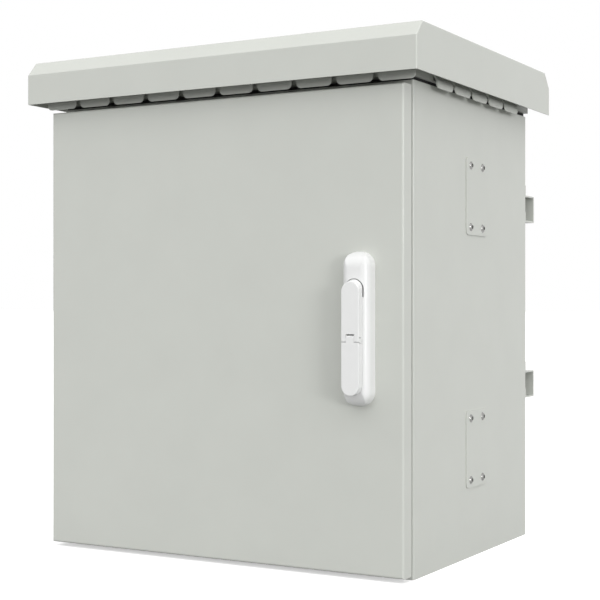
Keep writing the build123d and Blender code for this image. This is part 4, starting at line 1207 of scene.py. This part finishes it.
@dataclass
class SwingHandle(SubAssembly):
    """Handle base, lever, flap, lock and what sits behind the door."""

    def __post_init__(self) -> None:
        """Name the nodes and the fasteners."""
        self.dressed = {
            Slot.HANDLE_PLASTIC: ("handle_base", "lever", "dust_flap"),
            Slot.LOCK_METAL: ("lock_cylinder", "lock_plug"),
            Slot.ZINC_PLATE: ("handle_clamp", "latch_cam", "spindle"),
            Slot.SCREW_STEEL: ("lift_pin", "flap_pin"),
        }
        self.fasteners = (
            FastenerSet("clamp_screws", "handle_clamp_screws", Kind.BUTTON_SCREW, Facing.REAR, Thread.M4,
                        body=Body.DOOR),
            FastenerSet("latch_screw", "cam_screw", Kind.BUTTON_SCREW, Facing.REAR, Thread.M5,
                        body=Body.SPINDLE),
        )


@dataclass
class RackFrame(SubAssembly):
    """Rack rails inside and mounting rails on the rear wall."""

    bolt_head: float = 4 * MM

    def __post_init__(self) -> None:
        """Name the nodes and the fasteners."""
        self.dressed = {
            Slot.ZINC_PLATE: ("left_rack_rail", "right_rack_rail"),
            Slot.CABINET_PAINT: ("lower_mount_rail", "upper_mount_rail"),
        }
        self.fasteners = (
            FastenerSet("rack_bolts", "rack_rail_bolts", Kind.BOLT_AND_NUT, Facing.FRONT, Thread.M6,
                        head_height=self.bolt_head),
            FastenerSet("rail_bolts", "mount_rail_bolts", Kind.HEX_BOLT, Facing.REAR, Thread.M6,
                        head_height=self.bolt_head),
            FastenerSet("rail_nuts", "mount_rail_nuts", Kind.NUT, Facing.FRONT, Thread.M6),
        )


@dataclass(frozen=True)
class SoftLamp:
    """Broad studio lamp so far away that it lights cabinet and floor evenly."""

    name: str
    toward: tuple[float, float, float]
    level: float
    spread: float

    def build(self) -> None:
        """Hang the lamp; a level of 1 shows a surface that faces it in its own colour."""
        lamp = bpy.data.lights.new(self.name, "SUN")
        lamp.energy = math.pi * self.level
        lamp.angle = math.radians(self.spread)
        made = bpy.data.objects.new(self.name, lamp)
        made.rotation_euler = (-Vector(self.toward)).to_track_quat("-Z", "Y").to_euler()
        bpy.context.scene.collection.objects.link(made)


@dataclass
class Studio:
    """White floor and surround, soft lamps and the camera."""

    eye: tuple[float, float, float] = (1.08124, -1.89339, 0.37335)
    heading: float = 29.72
    lens: float = 81.95
    sensor: float = 36.0
    rise_shift: float = 0.0069
    floor_reach: float = 60.0
    floor_colour: Colour = (0.30, 0.30, 0.30, 1.0)
    seen_colour: Colour = (0.84, 0.84, 0.84, 1.0)
    seen_glow: float = 0.50
    ambient: float = 0.78
    backdrop: float = 1.0
    lamps: tuple[SoftLamp, ...] = (
        SoftLamp("key", (0.50, -0.74, 0.44), 0.19, 80.0),
        SoftLamp("strip", (0.86, -0.51, 0.05), 0.36, 18.0),
        SoftLamp("overhead", (0.15, -0.42, 0.89), 0.30, 90.0),
    )

    def seen(self, graph: Graph) -> bpy.types.NodeSocket:
        """Mask of what is seen directly, in a reflection or through glass.

        Args:
            graph: the graph to add it to.

        Returns:
            The mask's socket.
        """
        rays = graph.node("ShaderNodeLightPath").outputs
        direct = graph.math("MAXIMUM", rays["Is Camera Ray"], rays["Is Transmission Ray"])
        return graph.math("MAXIMUM", direct, rays["Is Glossy Ray"])

    def surround(self) -> None:
        """Soft light from all round, seen as plain white."""
        world = bpy.data.worlds.new("surround")
        world.use_nodes = True
        bpy.context.scene.world = world
        graph = Graph(world.node_tree)
        light = world.node_tree.nodes["Background"]
        white = graph.node("ShaderNodeBackground")
        for shader, strength in ((light, self.ambient), (white, self.backdrop)):
            shader.inputs["Color"].default_value = WHITE
            shader.inputs["Strength"].default_value = strength
        output = world.node_tree.nodes["World Output"]
        graph.feed(output.inputs["Surface"], graph.choose(self.seen(graph), light, white))

    def floor_paint(self) -> bpy.types.Material:
        """Paint that lights the cabinet as a grey floor does, and is seen as a white one.

        Returns:
            The material.
        """
        paint = bpy.data.materials.new("studio_floor")
        paint.use_nodes = True
        graph = Graph(paint.node_tree)
        paint.node_tree.nodes.remove(paint.node_tree.nodes["Principled BSDF"])
        plain = graph.node("ShaderNodeBsdfDiffuse")
        plain.inputs["Color"].default_value = self.floor_colour
        bright = graph.node("ShaderNodeBsdfDiffuse")
        bright.inputs["Color"].default_value = self.seen_colour
        glow = graph.node("ShaderNodeEmission")
        direct = graph.node("ShaderNodeLightPath").outputs["Is Camera Ray"]
        graph.feed(glow.inputs["Strength"], graph.math("MULTIPLY", direct, self.seen_glow))
        lifted = graph.node("ShaderNodeAddShader")
        graph.feed(lifted.inputs[0], bright.outputs[0])
        graph.feed(lifted.inputs[1], glow.outputs[0])
        output = paint.node_tree.nodes["Material Output"]
        graph.feed(output.inputs["Surface"], graph.choose(self.seen(graph), plain, lifted))
        return paint

    def floor(self) -> None:
        """Wide pale floor that shows white and keeps the cabinet's shadow."""
        reach = self.floor_reach
        corners = [(-reach, -reach, 0), (reach, -reach, 0), (reach, reach, 0), (-reach, reach, 0)]
        mesh = bpy.data.meshes.new("floor")
        mesh.from_pydata(corners, [], [tuple(range(len(corners)))])
        mesh.materials.append(self.floor_paint())
        made = bpy.data.objects.new("floor", mesh)
        bpy.context.scene.collection.objects.link(made)

    def camera(self) -> None:
        """Level camera at the photograph's place."""
        data = bpy.data.cameras.new("camera")
        data.sensor_width = self.sensor
        data.lens = self.lens
        data.shift_y = self.rise_shift
        made = bpy.data.objects.new("camera", data)
        made.location = self.eye
        made.rotation_euler = (QUARTER_TURN, 0.0, math.radians(self.heading))
        bpy.context.scene.collection.objects.link(made)
        bpy.context.scene.camera = made

    def build(self) -> None:
        """Set up the whole studio."""
        self.surround()
        self.floor()
        for lamp in self.lamps:
            lamp.build()
        self.camera()
        bpy.context.scene.view_settings.view_transform = "Standard"


def main() -> None:
    """Build the sub-assemblies in order and set up the studio."""
    logging.basicConfig(level=logging.INFO, format="%(name)s: %(message)s")
    finishes = FinishSet()
    for assembly in (CabinetShell(), RainRoof(), Door(), SwingHandle(), RackFrame()):
        assembly.dress(finishes)
        assembly.build(finishes)
        LOG.info("finished %s", type(assembly).__name__)
    Studio().build()


if __name__ == "__main__":
    main()
